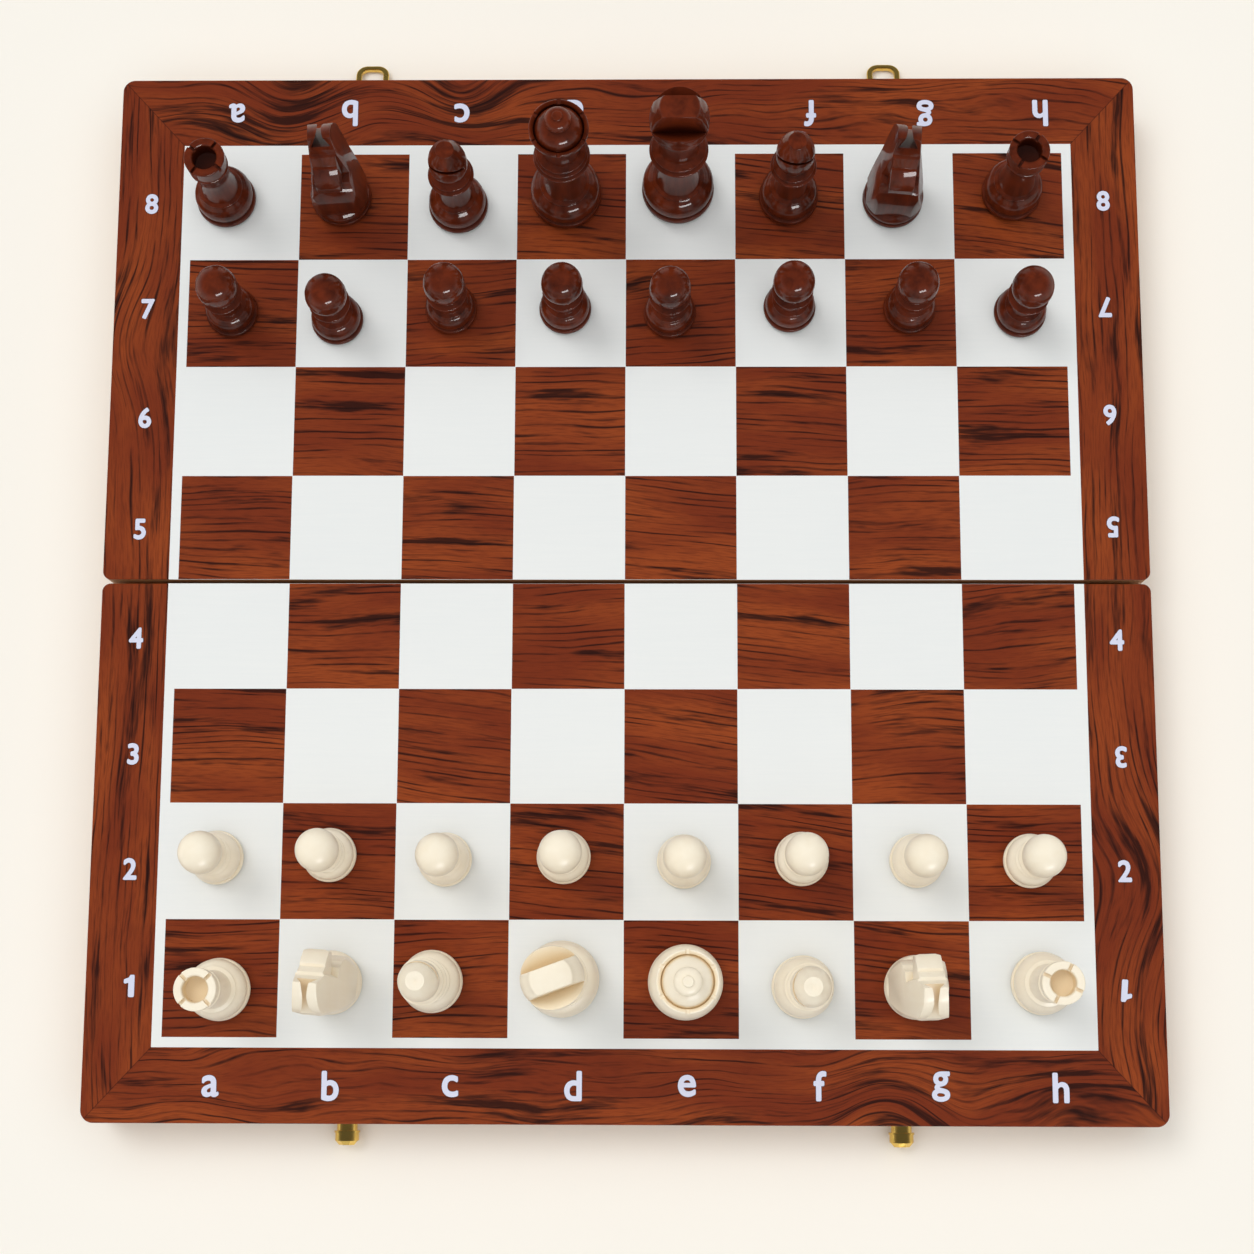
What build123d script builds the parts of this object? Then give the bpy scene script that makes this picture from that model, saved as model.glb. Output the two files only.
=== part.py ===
"""Folding wooden chessboard case with its thirty-two men, open flat on a table.

Millimetres. X runs along the files a to h, Y from rank 1 to rank 8, Z up. The origin is on the table,
below the middle of the seam between the two halves. Every piece of a half is drawn as on the far half,
and the near half's pieces are mirrored across the seam.
"""
import os
from math import cos, radians, sin

from build123d import *

# Case, open flat
case_width = 380.0
case_length = 385.0
case_height = 25.0
seam_gap = 1.5
wall = 8.0
panel_thick = 4.0
skin_thick = 0.6
steel_thick = 0.5
lining_thick = 0.9
outer_corner = 4.5
seam_corner = 3.0
edge_round = 0.4

# Squares and the pale strip round them: the row at the seam is cut short by it
square_x = 40.6
square_y = 41.2
squares_end_y = 162.9
pale_strip = 3.5
rows_per_half = 4
files = "abcdefgh"
inlay_bridge = 0.1

# Hinges in the seam: the pin lies just under the plane where the rims meet
knuckle_r = 1.25
knuckle_length = 10.0
knuckle_play = 0.15
knuckle_relief = 0.3
pin_r = 0.55
pin_fit = 0.03
rim_gap = 0.1
leaf_thick = 0.62
leaf_length = 30.0
leaf_height = 13.0
hinge_x = 112.0
leaf_screw_x = 10.0
leaf_screw_rise = 8.5

# Countersunk screws
screw_r = 0.75
screw_head_r = 1.45
screw_head_deep = 0.5
screw_length = 6.0
screw_play = 0.05
slot_wide = 0.4
slot_deep = 0.2

# Swing loops on the far end
clasp_x = 99.0
pivot_rise = 4.3
pivot_out = 2.2
loop_droop = 18.0
loop_width = 12.7
loop_window = 8.2
loop_reach = 14.4
window_reach = 12.6
loop_thick = 2.0
loop_corner = 4.4
window_corner = 2.6
loop_eye = 0.9
loop_round = 0.5
bar_r = 0.8
bar_fit = 0.07
curl_r = 1.6
curl_width = 6.6
plate_width = 11.5
plate_height = 11.0
plate_thick = 0.8
plate_corner = 2.0
plate_screw_x = 3.4
plate_screw_rise = 8.6

# Knobs on the near end, one under each loop when the case is shut
knob_rise = 4.2
neck_r = 3.7
neck_length = 3.4
collar_r = 4.6
collar_thick = 0.7
head_r = 4.3
head_length = 2.8
front_r = 2.9
front_length = 1.5
front_sides = 8
shank_r = 1.2
shank_length = 6.0

# Men: what they share, then where they stand. Each outline point is radius, height, bulge of the arc to it.
pad_thick = 0.8
pad_inset = 0.6
magnet_r = 4.0
magnet_thick = 2.5
foot_bead = 0.4
pawn_head_r = 7.3
pawn_head_z = 32.3
back_rows = {
    "dark": ["rook", "knight", "bishop", "queen", "king", "bishop", "knight", "rook"],
    "light": ["rook", "knight", "bishop", "king", "queen", "bishop", "knight", "rook"],
}
ranks = {"dark": (8, 7), "light": (1, 2)}
# How far each man stands off the middle of its square, file by file, and how it is turned
back_offsets = {
    "dark": [(-7, 2.5), (-4.5, 3), (-1.5, 0), (-2, 4), (-1, 6), (-0.5, 3), (-2.5, 2), (1, 4.5)],
    "light": [(0, -4), (-1.5, -1.5), (-6.5, -1), (-1.5, 0), (1.5, -1), (2, -2.5), (1, -2.5), (4.5, -1)],
}
pawn_offsets = {
    "dark": [(-3.5, 0), (-5, -3), (-3.5, 1), (-2, 1), (-4, -0.5), (-0.5, 1.5), (3, 1), (3, -0.5)],
    "light": [(-2.5, 1), (-3, 2), (-2.5, 0.5), (-1, 1.5), (1, 0), (2, 1), (2, 0.5), (1.5, 0.5)],
}
back_turns = {
    "dark": [8, 4, -6, 0, 0, -4, -5, 12],
    "light": [0, 176, 168, 20, 0, -86, 182, 20],
}

# Worked out
pin_z = knuckle_r
rim_z = knuckle_r + rim_gap
top_z = rim_z + case_height
panel_top = top_z - skin_thick
panel_under = panel_top - panel_thick
wall_height = panel_under - rim_z
edge_x = case_width / 2
end_y = case_length / 2
seam_y = seam_gap / 2
field_x = len(files) / 2 * square_x + pale_strip
field_y = squares_end_y + pale_strip
tray_x = edge_x - wall
tray_low_y = seam_y + wall
tray_high_y = end_y - wall
tray_y = (tray_low_y + tray_high_y) / 2
pivot_y = end_y + pivot_out
pivot_z = rim_z + pivot_rise
quarter_bulge = 1 - cos(radians(45))
outward = Plane(origin=(0, end_y, 0), x_dir=(-1, 0, 0), z_dir=(0, 1, 0))


def keep(shape, name):
    """Names a finished piece and writes its file."""
    shape.label = name
    export_step(shape, f"parts/{name}.step")


def keep_group(shapes, name):
    """Keeps several separate solids under one name."""
    keep(Compound(children=list(shapes)), name)


def across_seam(shape):
    """The near half's copy of a piece drawn on the far half."""
    return mirror(shape, about=Plane.XZ)


def both_sides(x):
    return (-x, x)


# Screws


def screw(place, away):
    """Slotted countersunk screw, its head flush at place and its shank driven in against away."""
    with BuildPart(Plane(origin=place, z_dir=away)) as fixing:
        Cone(screw_r, screw_head_r, screw_head_deep, align=(Align.CENTER, Align.CENTER, Align.MAX))
        Cylinder(screw_r, screw_length, align=(Align.CENTER, Align.CENTER, Align.MAX))
        Box(2 * screw_head_r, slot_wide, slot_deep, align=(Align.CENTER, Align.CENTER, Align.MAX),
            mode=Mode.SUBTRACT)
    return fixing.part


def screw_room(place, away):
    """What a screw takes out of the pieces that it holds."""
    with BuildPart(Plane(origin=place, z_dir=away)) as room:
        Cone(screw_r + screw_play, screw_head_r + screw_play, screw_head_deep + screw_play,
             align=(Align.CENTER, Align.CENTER, Align.MAX))
        hole_length = screw_length + screw_play
        Cylinder(screw_r + screw_play, hole_length, align=(Align.CENTER, Align.CENTER, Align.MAX))
    return room.part


def leaf_screw_places():
    """Heads of the hinge screws, on the face of the far leaves."""
    return [
        (hinge + x, seam_y - leaf_thick, pin_z + leaf_screw_rise)
        for hinge in both_sides(hinge_x)
        for x in (-leaf_screw_x, 0, leaf_screw_x)
    ]


def plate_screw_places():
    """Heads of the clasp plates' screws, on the face of the plates."""
    return [
        (clasp + x, end_y + plate_thick, rim_z + plate_screw_rise)
        for clasp in both_sides(clasp_x)
        for x in both_sides(plate_screw_x)
    ]


# Wooden shell of one half


def half_outline():
    """Plan of one half: a rectangle with round corners, larger ones at the outer end."""
    with BuildSketch() as outline:
        with Locations((0, (seam_y + end_y) / 2)):
            Rectangle(case_width, end_y - seam_y)
        fillet(outline.vertices().group_by(Axis.Y)[0], seam_corner)
        fillet(outline.vertices().group_by(Axis.Y)[-1], outer_corner)
    return outline.sketch


def end_wall(plates):
    """Outer end wall, bored for the clasp plates' screws on one half and for the knobs on the other."""
    with BuildPart() as end:
        with BuildSketch(Plane.XY.offset(rim_z)):
            add(half_outline())
            with Locations((0, end_y - wall / 2)):
                Rectangle(case_width, wall, mode=Mode.INTERSECT)
        extrude(amount=wall_height)
        if plates:
            for place in plate_screw_places():
                add(screw_room(place, (0, 1, 0)), mode=Mode.SUBTRACT)
        else:
            with BuildSketch(Plane.XZ.offset(-end_y)):
                with Locations(*[(x, rim_z + knob_rise) for x in both_sides(clasp_x)]):
                    Circle(shank_r + screw_play)
            extrude(amount=shank_length + screw_play, mode=Mode.SUBTRACT)
    return end.part


def hinge_wall():
    """Wall beside the seam, relieved along its lower edge for the knuckles and bored for the screws."""
    with BuildPart() as beside:
        with BuildSketch(Plane.XY.offset(rim_z)):
            add(half_outline())
            with Locations((0, seam_y + wall / 2)):
                Rectangle(case_width, wall, mode=Mode.INTERSECT)
        extrude(amount=wall_height)
        with Locations(*[(x, 0, pin_z) for x in both_sides(hinge_x)]):
            Cylinder(knuckle_r + knuckle_relief, leaf_length + 1, rotation=(0, 90, 0), mode=Mode.SUBTRACT)
        for place in leaf_screw_places():
            add(screw_room(place, (0, -1, 0)), mode=Mode.SUBTRACT)
    return beside.part


def side_walls():
    """The two short walls between the end wall and the hinge wall."""
    with BuildPart() as short_walls:
        with BuildSketch(Plane.XY.offset(rim_z)):
            with Locations(*[(x, tray_y) for x in both_sides(edge_x - wall / 2)]):
                Rectangle(wall, tray_high_y - tray_low_y)
        extrude(amount=wall_height)
    return short_walls.part


def top_panel():
    """Plywood playing panel, laid on the walls."""
    with BuildPart() as panel:
        with BuildSketch(Plane.XY.offset(panel_under)):
            add(half_outline())
        extrude(amount=panel_thick)
    return panel.part


def tray_sheet(under, thick):
    """Flat sheet that fills the tray's ceiling."""
    with BuildPart() as sheet:
        with BuildSketch(Plane.XY.offset(under)):
            with Locations((0, tray_y)):
                Rectangle(2 * tray_x, tray_high_y - tray_low_y)
        extrude(amount=thick)
    return sheet.part


# Veneer skins on the panel


def border_frame():
    """The whole dark border of one half, soft along its outside edge."""
    with BuildPart() as frame:
        with BuildSketch(Plane.XY.offset(panel_top)):
            add(half_outline())
            with Locations((0, (seam_y + field_y) / 2)):
                Rectangle(2 * field_x, field_y - seam_y, mode=Mode.SUBTRACT)
        extrude(amount=skin_thick)
        rim = frame.edges().group_by(Axis.Z)[-1]
        outside = rim.filter_by(lambda edge: max(abs(edge.center().X) - field_x, edge.center().Y - field_y) > 1)
        along_seam = outside.filter_by(lambda edge: edge.center().Y < seam_y + 0.01)
        fillet(outside - along_seam, edge_round)
    return frame.part


def border_veneer():
    """Three strips cut from the border by mitres that run from the field's corners to the outer corners."""
    over = 1.0
    slope = (end_y - field_y) / (edge_x - field_x)
    mitre = (edge_x + over, end_y + over * slope)
    side = [(field_x, -over), (edge_x + over, -over), mitre, (field_x, field_y)]
    far = [(field_x, field_y), mitre, (-mitre[0], mitre[1]), (-field_x, field_y)]
    strips = []
    for corners in (side, far, [(-x, y) for x, y in side]):
        with BuildPart() as strip:
            with BuildSketch(Plane.XY.offset(panel_top)):
                with BuildLine():
                    Polyline(*corners, close=True)
                make_face()
            extrude(amount=skin_thick)
            add(border_frame(), mode=Mode.INTERSECT)
        strips.append(strip.part)
    return strips


def row_span(row):
    """Lowest and highest Y of a row of squares, counted from the seam."""
    high = squares_end_y - (rows_per_half - 1 - row) * square_y
    low = high - square_y if row else seam_y
    return low, high


def dark_places(shift):
    """Centre and length of each dark square of one half. The halves start with opposite colours."""
    places = []
    for row in range(rows_per_half):
        low, high = row_span(row)
        for file in range(len(files)):
            if (file + row + shift) % 2 == 0:
                places.append(((file - len(files) / 2 + 0.5) * square_x, (low + high) / 2, high - low))
    return places


def dark_squares(shift):
    """Dark veneer squares let into the pale field."""
    squares = []
    for x, y, length in dark_places(shift):
        with BuildPart() as square:
            with BuildSketch(Plane.XY.offset(panel_top)):
                with Locations((x, y)):
                    Rectangle(square_x - inlay_bridge, length - inlay_bridge)
            extrude(amount=skin_thick)
        squares.append(square.part)
    return squares


def light_field(shift):
    """Pale veneer with an opening for each dark square. Its own squares hold together at their corners."""
    with BuildPart() as field:
        with BuildSketch(Plane.XY.offset(panel_top)):
            with Locations((0, (seam_y + field_y) / 2)):
                Rectangle(2 * field_x, field_y - seam_y)
            for x, y, length in dark_places(shift):
                with Locations((x, y)):
                    Rectangle(square_x - inlay_bridge, length - inlay_bridge, mode=Mode.SUBTRACT)
        extrude(amount=skin_thick)
    return field.part


# Hinges


def hinge_leaves(own_knuckles, other_knuckles):
    """The two brass leaves of one half, screwed to its hinge wall, each with its share of the knuckles."""
    leaves = []
    for middle in both_sides(hinge_x):
        with BuildPart() as leaf:
            with BuildSketch(Plane.XY.offset(pin_z)):
                with Locations((middle, seam_y - leaf_thick / 2)):
                    Rectangle(leaf_length, leaf_thick)
            extrude(amount=leaf_height)
            with Locations(*[(middle + x, 0, pin_z) for x in own_knuckles]):
                Cylinder(knuckle_r, knuckle_length - knuckle_play, rotation=(0, 90, 0))
            with Locations(*[(middle + x, 0, pin_z) for x in other_knuckles]):
                Cylinder(knuckle_r + knuckle_relief, knuckle_length + knuckle_play, rotation=(0, 90, 0),
                         mode=Mode.SUBTRACT)
            with Locations((middle, 0, pin_z)):
                Cylinder(pin_r + pin_fit, leaf_length + 1, rotation=(0, 90, 0), mode=Mode.SUBTRACT)
            for place in leaf_screw_places():
                if abs(place[0] - middle) < leaf_length:
                    add(screw_room(place, (0, -1, 0)), mode=Mode.SUBTRACT)
        leaves.append(leaf.part)
    return leaves


def hinge_pins():
    """One steel pin through each hinge's three knuckles."""
    pins = []
    for middle in both_sides(hinge_x):
        with BuildPart() as pin:
            with Locations((middle, 0, pin_z)):
                Cylinder(pin_r, leaf_length, rotation=(0, 90, 0))
        pins.append(pin.part)
    return pins


# Clasps


def clasp_loop(middle):
    """Brass loop on its pivot bar, drooping from the bracket until its tip is just off the table."""
    tilt = radians(loop_droop)
    lie = Plane(origin=(middle, pivot_y, pivot_z), x_dir=(1, 0, 0), z_dir=(0, sin(tilt), cos(tilt)))
    with BuildPart() as loop:
        with BuildSketch(lie.offset(-loop_thick / 2)) as shape:
            with Locations((0, (loop_reach - loop_eye) / 2)):
                Rectangle(loop_width, loop_reach + loop_eye)
            fillet(shape.vertices().group_by(Axis.Y)[-1], loop_corner)
            with BuildSketch(mode=Mode.SUBTRACT) as window:
                with Locations((0, (window_reach - loop_eye) / 2)):
                    Rectangle(loop_window, window_reach + loop_eye)
                fillet(window.vertices().group_by(Axis.Y)[-1], window_corner)
        extrude(amount=loop_thick)
        flat = loop.faces().filter_by(lie)
        fillet(flat.edges(), loop_round)
        with BuildSketch(Plane.YZ.offset(middle)):
            with Locations((pivot_y, pivot_z)):
                Circle(bar_r)
        extrude(amount=loop_window / 2 + loop_round, both=True)
    return loop.part


def loop_brackets():
    """Plates on the far end, each with a curl round its loop's bar."""
    brackets = []
    for middle in both_sides(clasp_x):
        with BuildPart() as bracket:
            with BuildSketch(outward):
                with Locations((-middle, pivot_z - curl_r + plate_height / 2)):
                    RectangleRounded(plate_width, plate_height, plate_corner)
            extrude(amount=plate_thick)
            with BuildSketch(Plane.YZ.offset(middle)):
                with Locations((pivot_y, pivot_z)):
                    Circle(curl_r)
                with Locations((end_y + pivot_out / 2, pivot_z + curl_r - plate_thick / 2)):
                    Rectangle(pivot_out, plate_thick)
            extrude(amount=curl_width / 2, both=True)
            with BuildSketch(Plane.YZ.offset(middle)):
                with Locations((pivot_y, pivot_z)):
                    Circle(bar_r + bar_fit)
            extrude(amount=curl_width, both=True, mode=Mode.SUBTRACT)
            for place in plate_screw_places():
                if abs(place[0] - middle) < plate_width:
                    add(screw_room(place, (0, 1, 0)), mode=Mode.SUBTRACT)
        brackets.append(bracket.part)
    return brackets


def knobs():
    """Turned brass knobs with a groove for the loop, a collar and a faceted front."""
    pair = []
    for middle in both_sides(clasp_x):
        collar_at = neck_length
        head_at = collar_at + collar_thick
        front_at = head_at + head_length
        place = (-middle, rim_z + knob_rise)
        with BuildPart() as knob:
            for start, length, radius in (
                (-shank_length, shank_length, shank_r),
                (0, neck_length, neck_r),
                (collar_at, collar_thick, collar_r),
                (head_at, head_length, head_r),
            ):
                with BuildSketch(outward.offset(start)):
                    with Locations(place):
                        Circle(radius)
                extrude(amount=length)
            for start, radius in ((front_at, head_r), (front_at + front_length, front_r)):
                with BuildSketch(outward.offset(start)):
                    with Locations(place):
                        RegularPolygon(radius, front_sides, rotation=180 / front_sides)
            loft()
        pair.append(knob.part)
    return pair


# Men


def foot(radius, rise):
    """Outline of a man's foot: the edge of its pad, a round bead and the groove above it."""
    return [
        (radius - foot_bead, pad_thick, 0),
        (radius - foot_bead, pad_thick + rise, foot_bead),
        (radius - 3 * foot_bead, pad_thick + rise + foot_bead / 2, 0),
    ]


def collar(radius, height, thick, under, over):
    """Outline of a turned collar between two necks, its rim rounded."""
    return [
        (radius, height + under, 0),
        (radius, height + under + thick, thick / 3),
        (radius - over, height + under + thick + over / 2, 0),
    ]


outlines = {
    "pawn": foot(9.6, 2.2)
    + [(6.6, 11.0, 1.4), (6.6, 11.7, 0.2), (5.3, 12.3, 0), (5.2, 20.8, -0.4)]
    + collar(7.1, 21.0, 1.0, 0.6, 1.6)
    + [(5.0, 25.6, -0.2), (pawn_head_r, pawn_head_z, 1.0)]
    + [(0, pawn_head_z + pawn_head_r, quarter_bulge * pawn_head_r)],
    "rook": foot(11.0, 2.4)
    + [(7.9, 13.4, 1.6), (7.9, 14.2, 0.2), (6.7, 14.8, 0), (5.8, 33.4, -0.6), (6.9, 35.4, 0), (6.9, 36.2, 0.2)]
    + [(6.7, 36.5, 0), (7.2, 43.3, 0.2), (6.7, 44.0, 0.2), (4.8, 44.0, 0), (4.4, 43.5, 0), (4.4, 37.0, 0)]
    + [(0, 36.4, 0)],
    "bishop": foot(11.0, 2.4)
    + [(7.3, 12.8, 1.7), (7.3, 13.6, 0.2), (6.0, 14.2, 0), (5.4, 31.2, -0.5)]
    + collar(7.9, 31.4, 1.1, 0.9, 1.3)
    + collar(7.1, 34.2, 0.9, 0.6, 1.8)
    + [(5.1, 38.6, -0.1), (6.8, 44.6, 0.7), (3.2, 56.2, 1.1), (2.9, 56.6, 0.1), (0, 56.8, 0)],
    "queen": foot(13.2, 3.0)
    + [(9.0, 14.0, 2.1), (9.0, 14.9, 0.2), (7.8, 15.5, 0), (6.9, 38.6, -0.7)]
    + collar(9.7, 38.8, 1.2, 1.0, 1.1)
    + collar(9.2, 42.0, 1.0, 0.7, 1.1)
    + collar(8.6, 44.8, 0.9, 0.6, 1.8)
    + [(6.8, 50.6, -0.2), (10.2, 64.4, -1.0), (10.4, 65.8, 0.1), (9.8, 66.5, 0.2), (8.9, 65.8, 0)]
    + [(8.6, 64.0, 0), (3.2, 70.4, 1.2), (2.9, 70.9, 0), (4.7, 73.2, 0.4), (1.9, 76.0, 0.7), (1.8, 76.8, 0)]
    + [(0, 77.1, 0)],
    "king": foot(13.4, 3.0)
    + [(9.3, 14.2, 2.1), (9.3, 15.1, 0.2), (8.1, 15.7, 0), (7.1, 39.0, -0.7)]
    + collar(10.1, 39.2, 1.3, 1.1, 1.2)
    + collar(9.4, 42.8, 1.1, 0.7, 2.0)
    + [(7.2, 48.4, -0.2), (10.1, 64.8, -0.7), (10.2, 66.6, 0.2), (7.2, 78.6, 1.3), (6.4, 79.8, 0.2)]
    + [(0, 80.2, 0)],
    "knight": foot(11.2, 2.4) + [(10.3, 7.6, 0.9), (9.6, 8.4, 0), (9.2, 9.0, 0), (0, 9.0, 0)],
}


def trace(outline, start):
    """Lines and arcs from one outline point to the next. A bulge is outwards, to the right of the way."""
    here = start
    for across, up, bulge in outline:
        there = (across, up)
        if bulge:
            SagittaArc(here, there, -bulge)
        else:
            Line(here, there)
        here = there
    if here != start:
        Line(here, start)


def turned(kind):
    """A man as it leaves the lathe, with the blind hole for the magnet in its foot."""
    with BuildPart() as blank:
        with BuildSketch(Plane.XZ):
            with BuildLine():
                trace(outlines[kind], (0, pad_thick))
            make_face()
        revolve(axis=Axis.Z)
        with BuildSketch(Plane.XY.offset(pad_thick)):
            Circle(magnet_r)
        extrude(amount=magnet_thick, mode=Mode.SUBTRACT)
    return blank.part


def pawn():
    return turned("pawn")


def rook():
    """Tower with four notches sawn through its rim."""
    rim_height = 44.0
    rim_middle = 6.0
    notch_wide = 1.2
    notch_deep = 1.7
    notch_long = 5.0
    with BuildPart() as tower:
        add(turned("rook"))
        with BuildSketch(Plane.XY.offset(rim_height - notch_deep)):
            with PolarLocations(rim_middle, 4, start_angle=45):
                Rectangle(notch_long, notch_wide)
        extrude(amount=2 * notch_deep, mode=Mode.SUBTRACT)
    return tower.part


def bishop():
    """Mitre with a slanting saw cut in its front."""
    cut_wide = 0.8
    cut_long = 9.0
    cut_slant = -38.0
    cut_middle = (-5.5, 49.6)
    head_r = 6.8
    with BuildPart() as mitre:
        add(turned("bishop"))
        with BuildSketch(Plane.YZ):
            with Locations(Location(cut_middle, cut_slant)):
                Rectangle(cut_long, cut_wide)
        extrude(amount=2 * head_r, both=True, mode=Mode.SUBTRACT)
    return mitre.part


def queen():
    """Coronet with six small nicks round its rim."""
    rim_height = 66.5
    rim_middle = 9.6
    nick_wide = 1.5
    nick_deep = 1.0
    nick_long = 3.0
    with BuildPart() as crowned:
        add(turned("queen"))
        with BuildSketch(Plane.XY.offset(rim_height - nick_deep)):
            with PolarLocations(rim_middle, 6, start_angle=30):
                Rectangle(nick_long, nick_wide)
        extrude(amount=2 * nick_deep, mode=Mode.SUBTRACT)
    return crowned.part


def king():
    """Head cut down on two sides to leave an upright bar across its top."""
    bar_half = 3.7
    bar_foot = 0.7
    ledge_height = 67.6
    ledge_rise = 9.4
    clear_height = 85.0
    clear_r = 14.0
    wedge = [
        (bar_half, clear_height),
        (bar_half + bar_foot, ledge_height),
        (clear_r, ledge_height + ledge_rise),
        (clear_r, clear_height),
    ]
    with BuildPart() as barred:
        add(turned("king"))
        for sign in (-1, 1):
            with BuildSketch(Plane.YZ):
                with BuildLine():
                    Polyline(*[(sign * across, up) for across, up in wedge], close=True)
                make_face()
            extrude(amount=clear_r, both=True, mode=Mode.SUBTRACT)
    return barred.part


def knight():
    """Horse's head sawn from a turned blank: flat sides, stepped face and a groove between the ears."""
    blank_r = 11.3
    blank_height = 70.0
    foot_top = 8.9
    foot_reach = 9.2
    # Side view from the chest up over the muzzle, forehead and ears and down the mane: ahead, height, bulge
    side_view = [
        (7.6, 27.0, 1.0), (5.4, 31.0, -0.4), (6.4, 33.4, 0), (10.4, 34.8, 0), (11.0, 39.4, 0), (10.0, 41.8, 0),
        (6.2, 46.4, 0), (5.2, 46.2, 0), (3.4, 50.2, 0), (2.2, 50.4, 0), (-0.2, 59.6, 0), (-5.2, 57.0, 0.4),
        (-10.2, 44.0, 1.4), (-10.9, 30.0, 0.4), (-foot_reach, foot_top, -0.4),
    ]
    # Half width and height of the front view, from the foot up
    front_view = [(10.3, 8.8), (7.0, 28.0), (4.1, 57.0), (3.8, 61.0)]
    head_half = 4.3
    head_from = 31.0
    head_back = -3.0
    cheek_back = 1.0
    clear_x = 12.0
    clear_y = -20.0
    cheek = [(head_half, clear_y), (head_half, head_back), (clear_x, cheek_back), (clear_x, clear_y)]
    groove_start = (0, -3.2, 60.5)
    groove_run = (0, 0.55, -0.5)
    groove_half = 3.4
    groove_floor = -4.6
    groove_mouth = 3.0
    groove_length = 26.0
    with BuildPart() as horse:
        with BuildSketch(Plane.YZ):
            with BuildLine():
                trace([(-ahead, up, -bulge) for ahead, up, bulge in side_view], (-foot_reach, foot_top))
            make_face()
        extrude(amount=blank_r, both=True)
        with BuildSketch(Plane.XZ):
            with BuildLine():
                Polyline(*[(-across, up) for across, up in front_view], *reversed(front_view), close=True)
            make_face()
        extrude(amount=2 * blank_r, both=True, mode=Mode.INTERSECT)
        with BuildSketch():
            Circle(blank_r)
        extrude(amount=blank_height, mode=Mode.INTERSECT)
        # The face is narrower than the neck behind it
        for sign in (-1, 1):
            with BuildSketch(Plane.XY.offset(head_from)):
                with BuildLine():
                    Polyline(*[(sign * across, y) for across, y in cheek], close=True)
                make_face()
            extrude(amount=blank_height - head_from, mode=Mode.SUBTRACT)
        # Groove from the forehead back over the mane
        with BuildSketch(Plane(origin=groove_start, x_dir=(1, 0, 0), z_dir=groove_run)):
            with BuildLine():
                groove = [(0, groove_floor), (groove_half, groove_mouth), (-groove_half, groove_mouth)]
                Polyline(*groove, close=True)
            make_face()
        extrude(amount=groove_length, mode=Mode.SUBTRACT)
        add(turned("knight"))
    return horse.part


def felt_pad(radius):
    """Felt disc under a man."""
    with BuildPart() as disc:
        with BuildSketch():
            Circle(radius)
        extrude(amount=pad_thick)
    return disc.part


def magnet():
    """Disc magnet that fills the blind hole over the pad."""
    with BuildPart() as disc:
        with BuildSketch(Plane.XY.offset(pad_thick)):
            Circle(magnet_r)
        extrude(amount=magnet_thick)
    return disc.part


def man(kind):
    """The three solids of one man: turned wood, magnet and felt pad."""
    shapes = {"pawn": pawn, "rook": rook, "bishop": bishop, "queen": queen, "king": king, "knight": knight}
    wood = shapes[kind]()
    foot_r = outlines[kind][0][0]
    return [wood, magnet(), felt_pad(foot_r - pad_inset)]


def square_middle(file, rank):
    """Middle of a square, file from 0 and rank from 1."""
    side = 1 if rank > rows_per_half else -1
    row = rank - rows_per_half - 1 if side > 0 else rows_per_half - rank
    low, high = row_span(row)
    return (file - len(files) / 2 + 0.5) * square_x, side * (low + high) / 2


def keep_men(colour):
    """Sets out the sixteen men of one colour, each in a file of its own."""
    back_rank, pawn_rank = ranks[colour]
    rows = (
        (back_rank, back_rows[colour], back_offsets[colour], back_turns[colour]),
        (pawn_rank, ["pawn"] * len(files), pawn_offsets[colour], [0] * len(files)),
    )
    for rank, kinds, offsets, turns in rows:
        for file, kind in enumerate(kinds):
            x, y = square_middle(file, rank)
            off_x, off_y = offsets[file]
            stand = Location((x + off_x, y + off_y, top_z), (0, 0, turns[file]))
            keep_group([solid.moved(stand) for solid in men[kind]], f"{colour}_{kind}_{files[file]}{rank}")


os.makedirs("parts", exist_ok=True)

for half, place, shift in (("far", lambda shape: shape, 0), ("near", across_seam, 1)):
    keep(place(end_wall(plates=half == "far")), f"{half}_end_wall")
    keep(place(hinge_wall()), f"{half}_hinge_wall")
    keep(place(side_walls()), f"{half}_side_walls")
    keep(place(top_panel()), f"{half}_top_panel")
    keep_group([place(strip) for strip in border_veneer()], f"{half}_border_veneer")
    keep(place(light_field(shift)), f"{half}_light_field")
    keep_group([place(square) for square in dark_squares(shift)], f"{half}_dark_squares")
    keep(place(tray_sheet(panel_under - steel_thick, steel_thick)), f"{half}_steel_sheet")
    keep(place(tray_sheet(panel_under - steel_thick - lining_thick, lining_thick)), f"{half}_felt_lining")

leaf_screws = [screw(place, (0, -1, 0)) for place in leaf_screw_places()]
plate_screws = [screw(place, (0, 1, 0)) for place in plate_screw_places()]
keep_group(hinge_leaves((-knuckle_length, knuckle_length), (0,)), "hinge_leaves_far")
near_leaves = hinge_leaves((0,), (-knuckle_length, knuckle_length))
keep_group([across_seam(leaf) for leaf in near_leaves], "hinge_leaves_near")
keep_group(hinge_pins(), "hinge_pins")
keep_group(leaf_screws + plate_screws, "far_screws")
keep_group([across_seam(fixing) for fixing in leaf_screws], "near_screws")
keep_group(loop_brackets(), "loop_brackets")
keep(clasp_loop(-clasp_x), "left_loop")
keep(clasp_loop(clasp_x), "right_loop")
keep_group([across_seam(knob) for knob in knobs()], "knobs")

men = {kind: man(kind) for kind in outlines}
for colour in ranks:
    keep_men(colour)
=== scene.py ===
"""Dresses a folding chess set: veneers, lettering, thirty-two lacquered men, brass clasps and a stage."""
from math import atan, atan2, cos, hypot, pi, radians, sin

import bmesh
import bpy
from mathutils import Matrix, Vector


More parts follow.
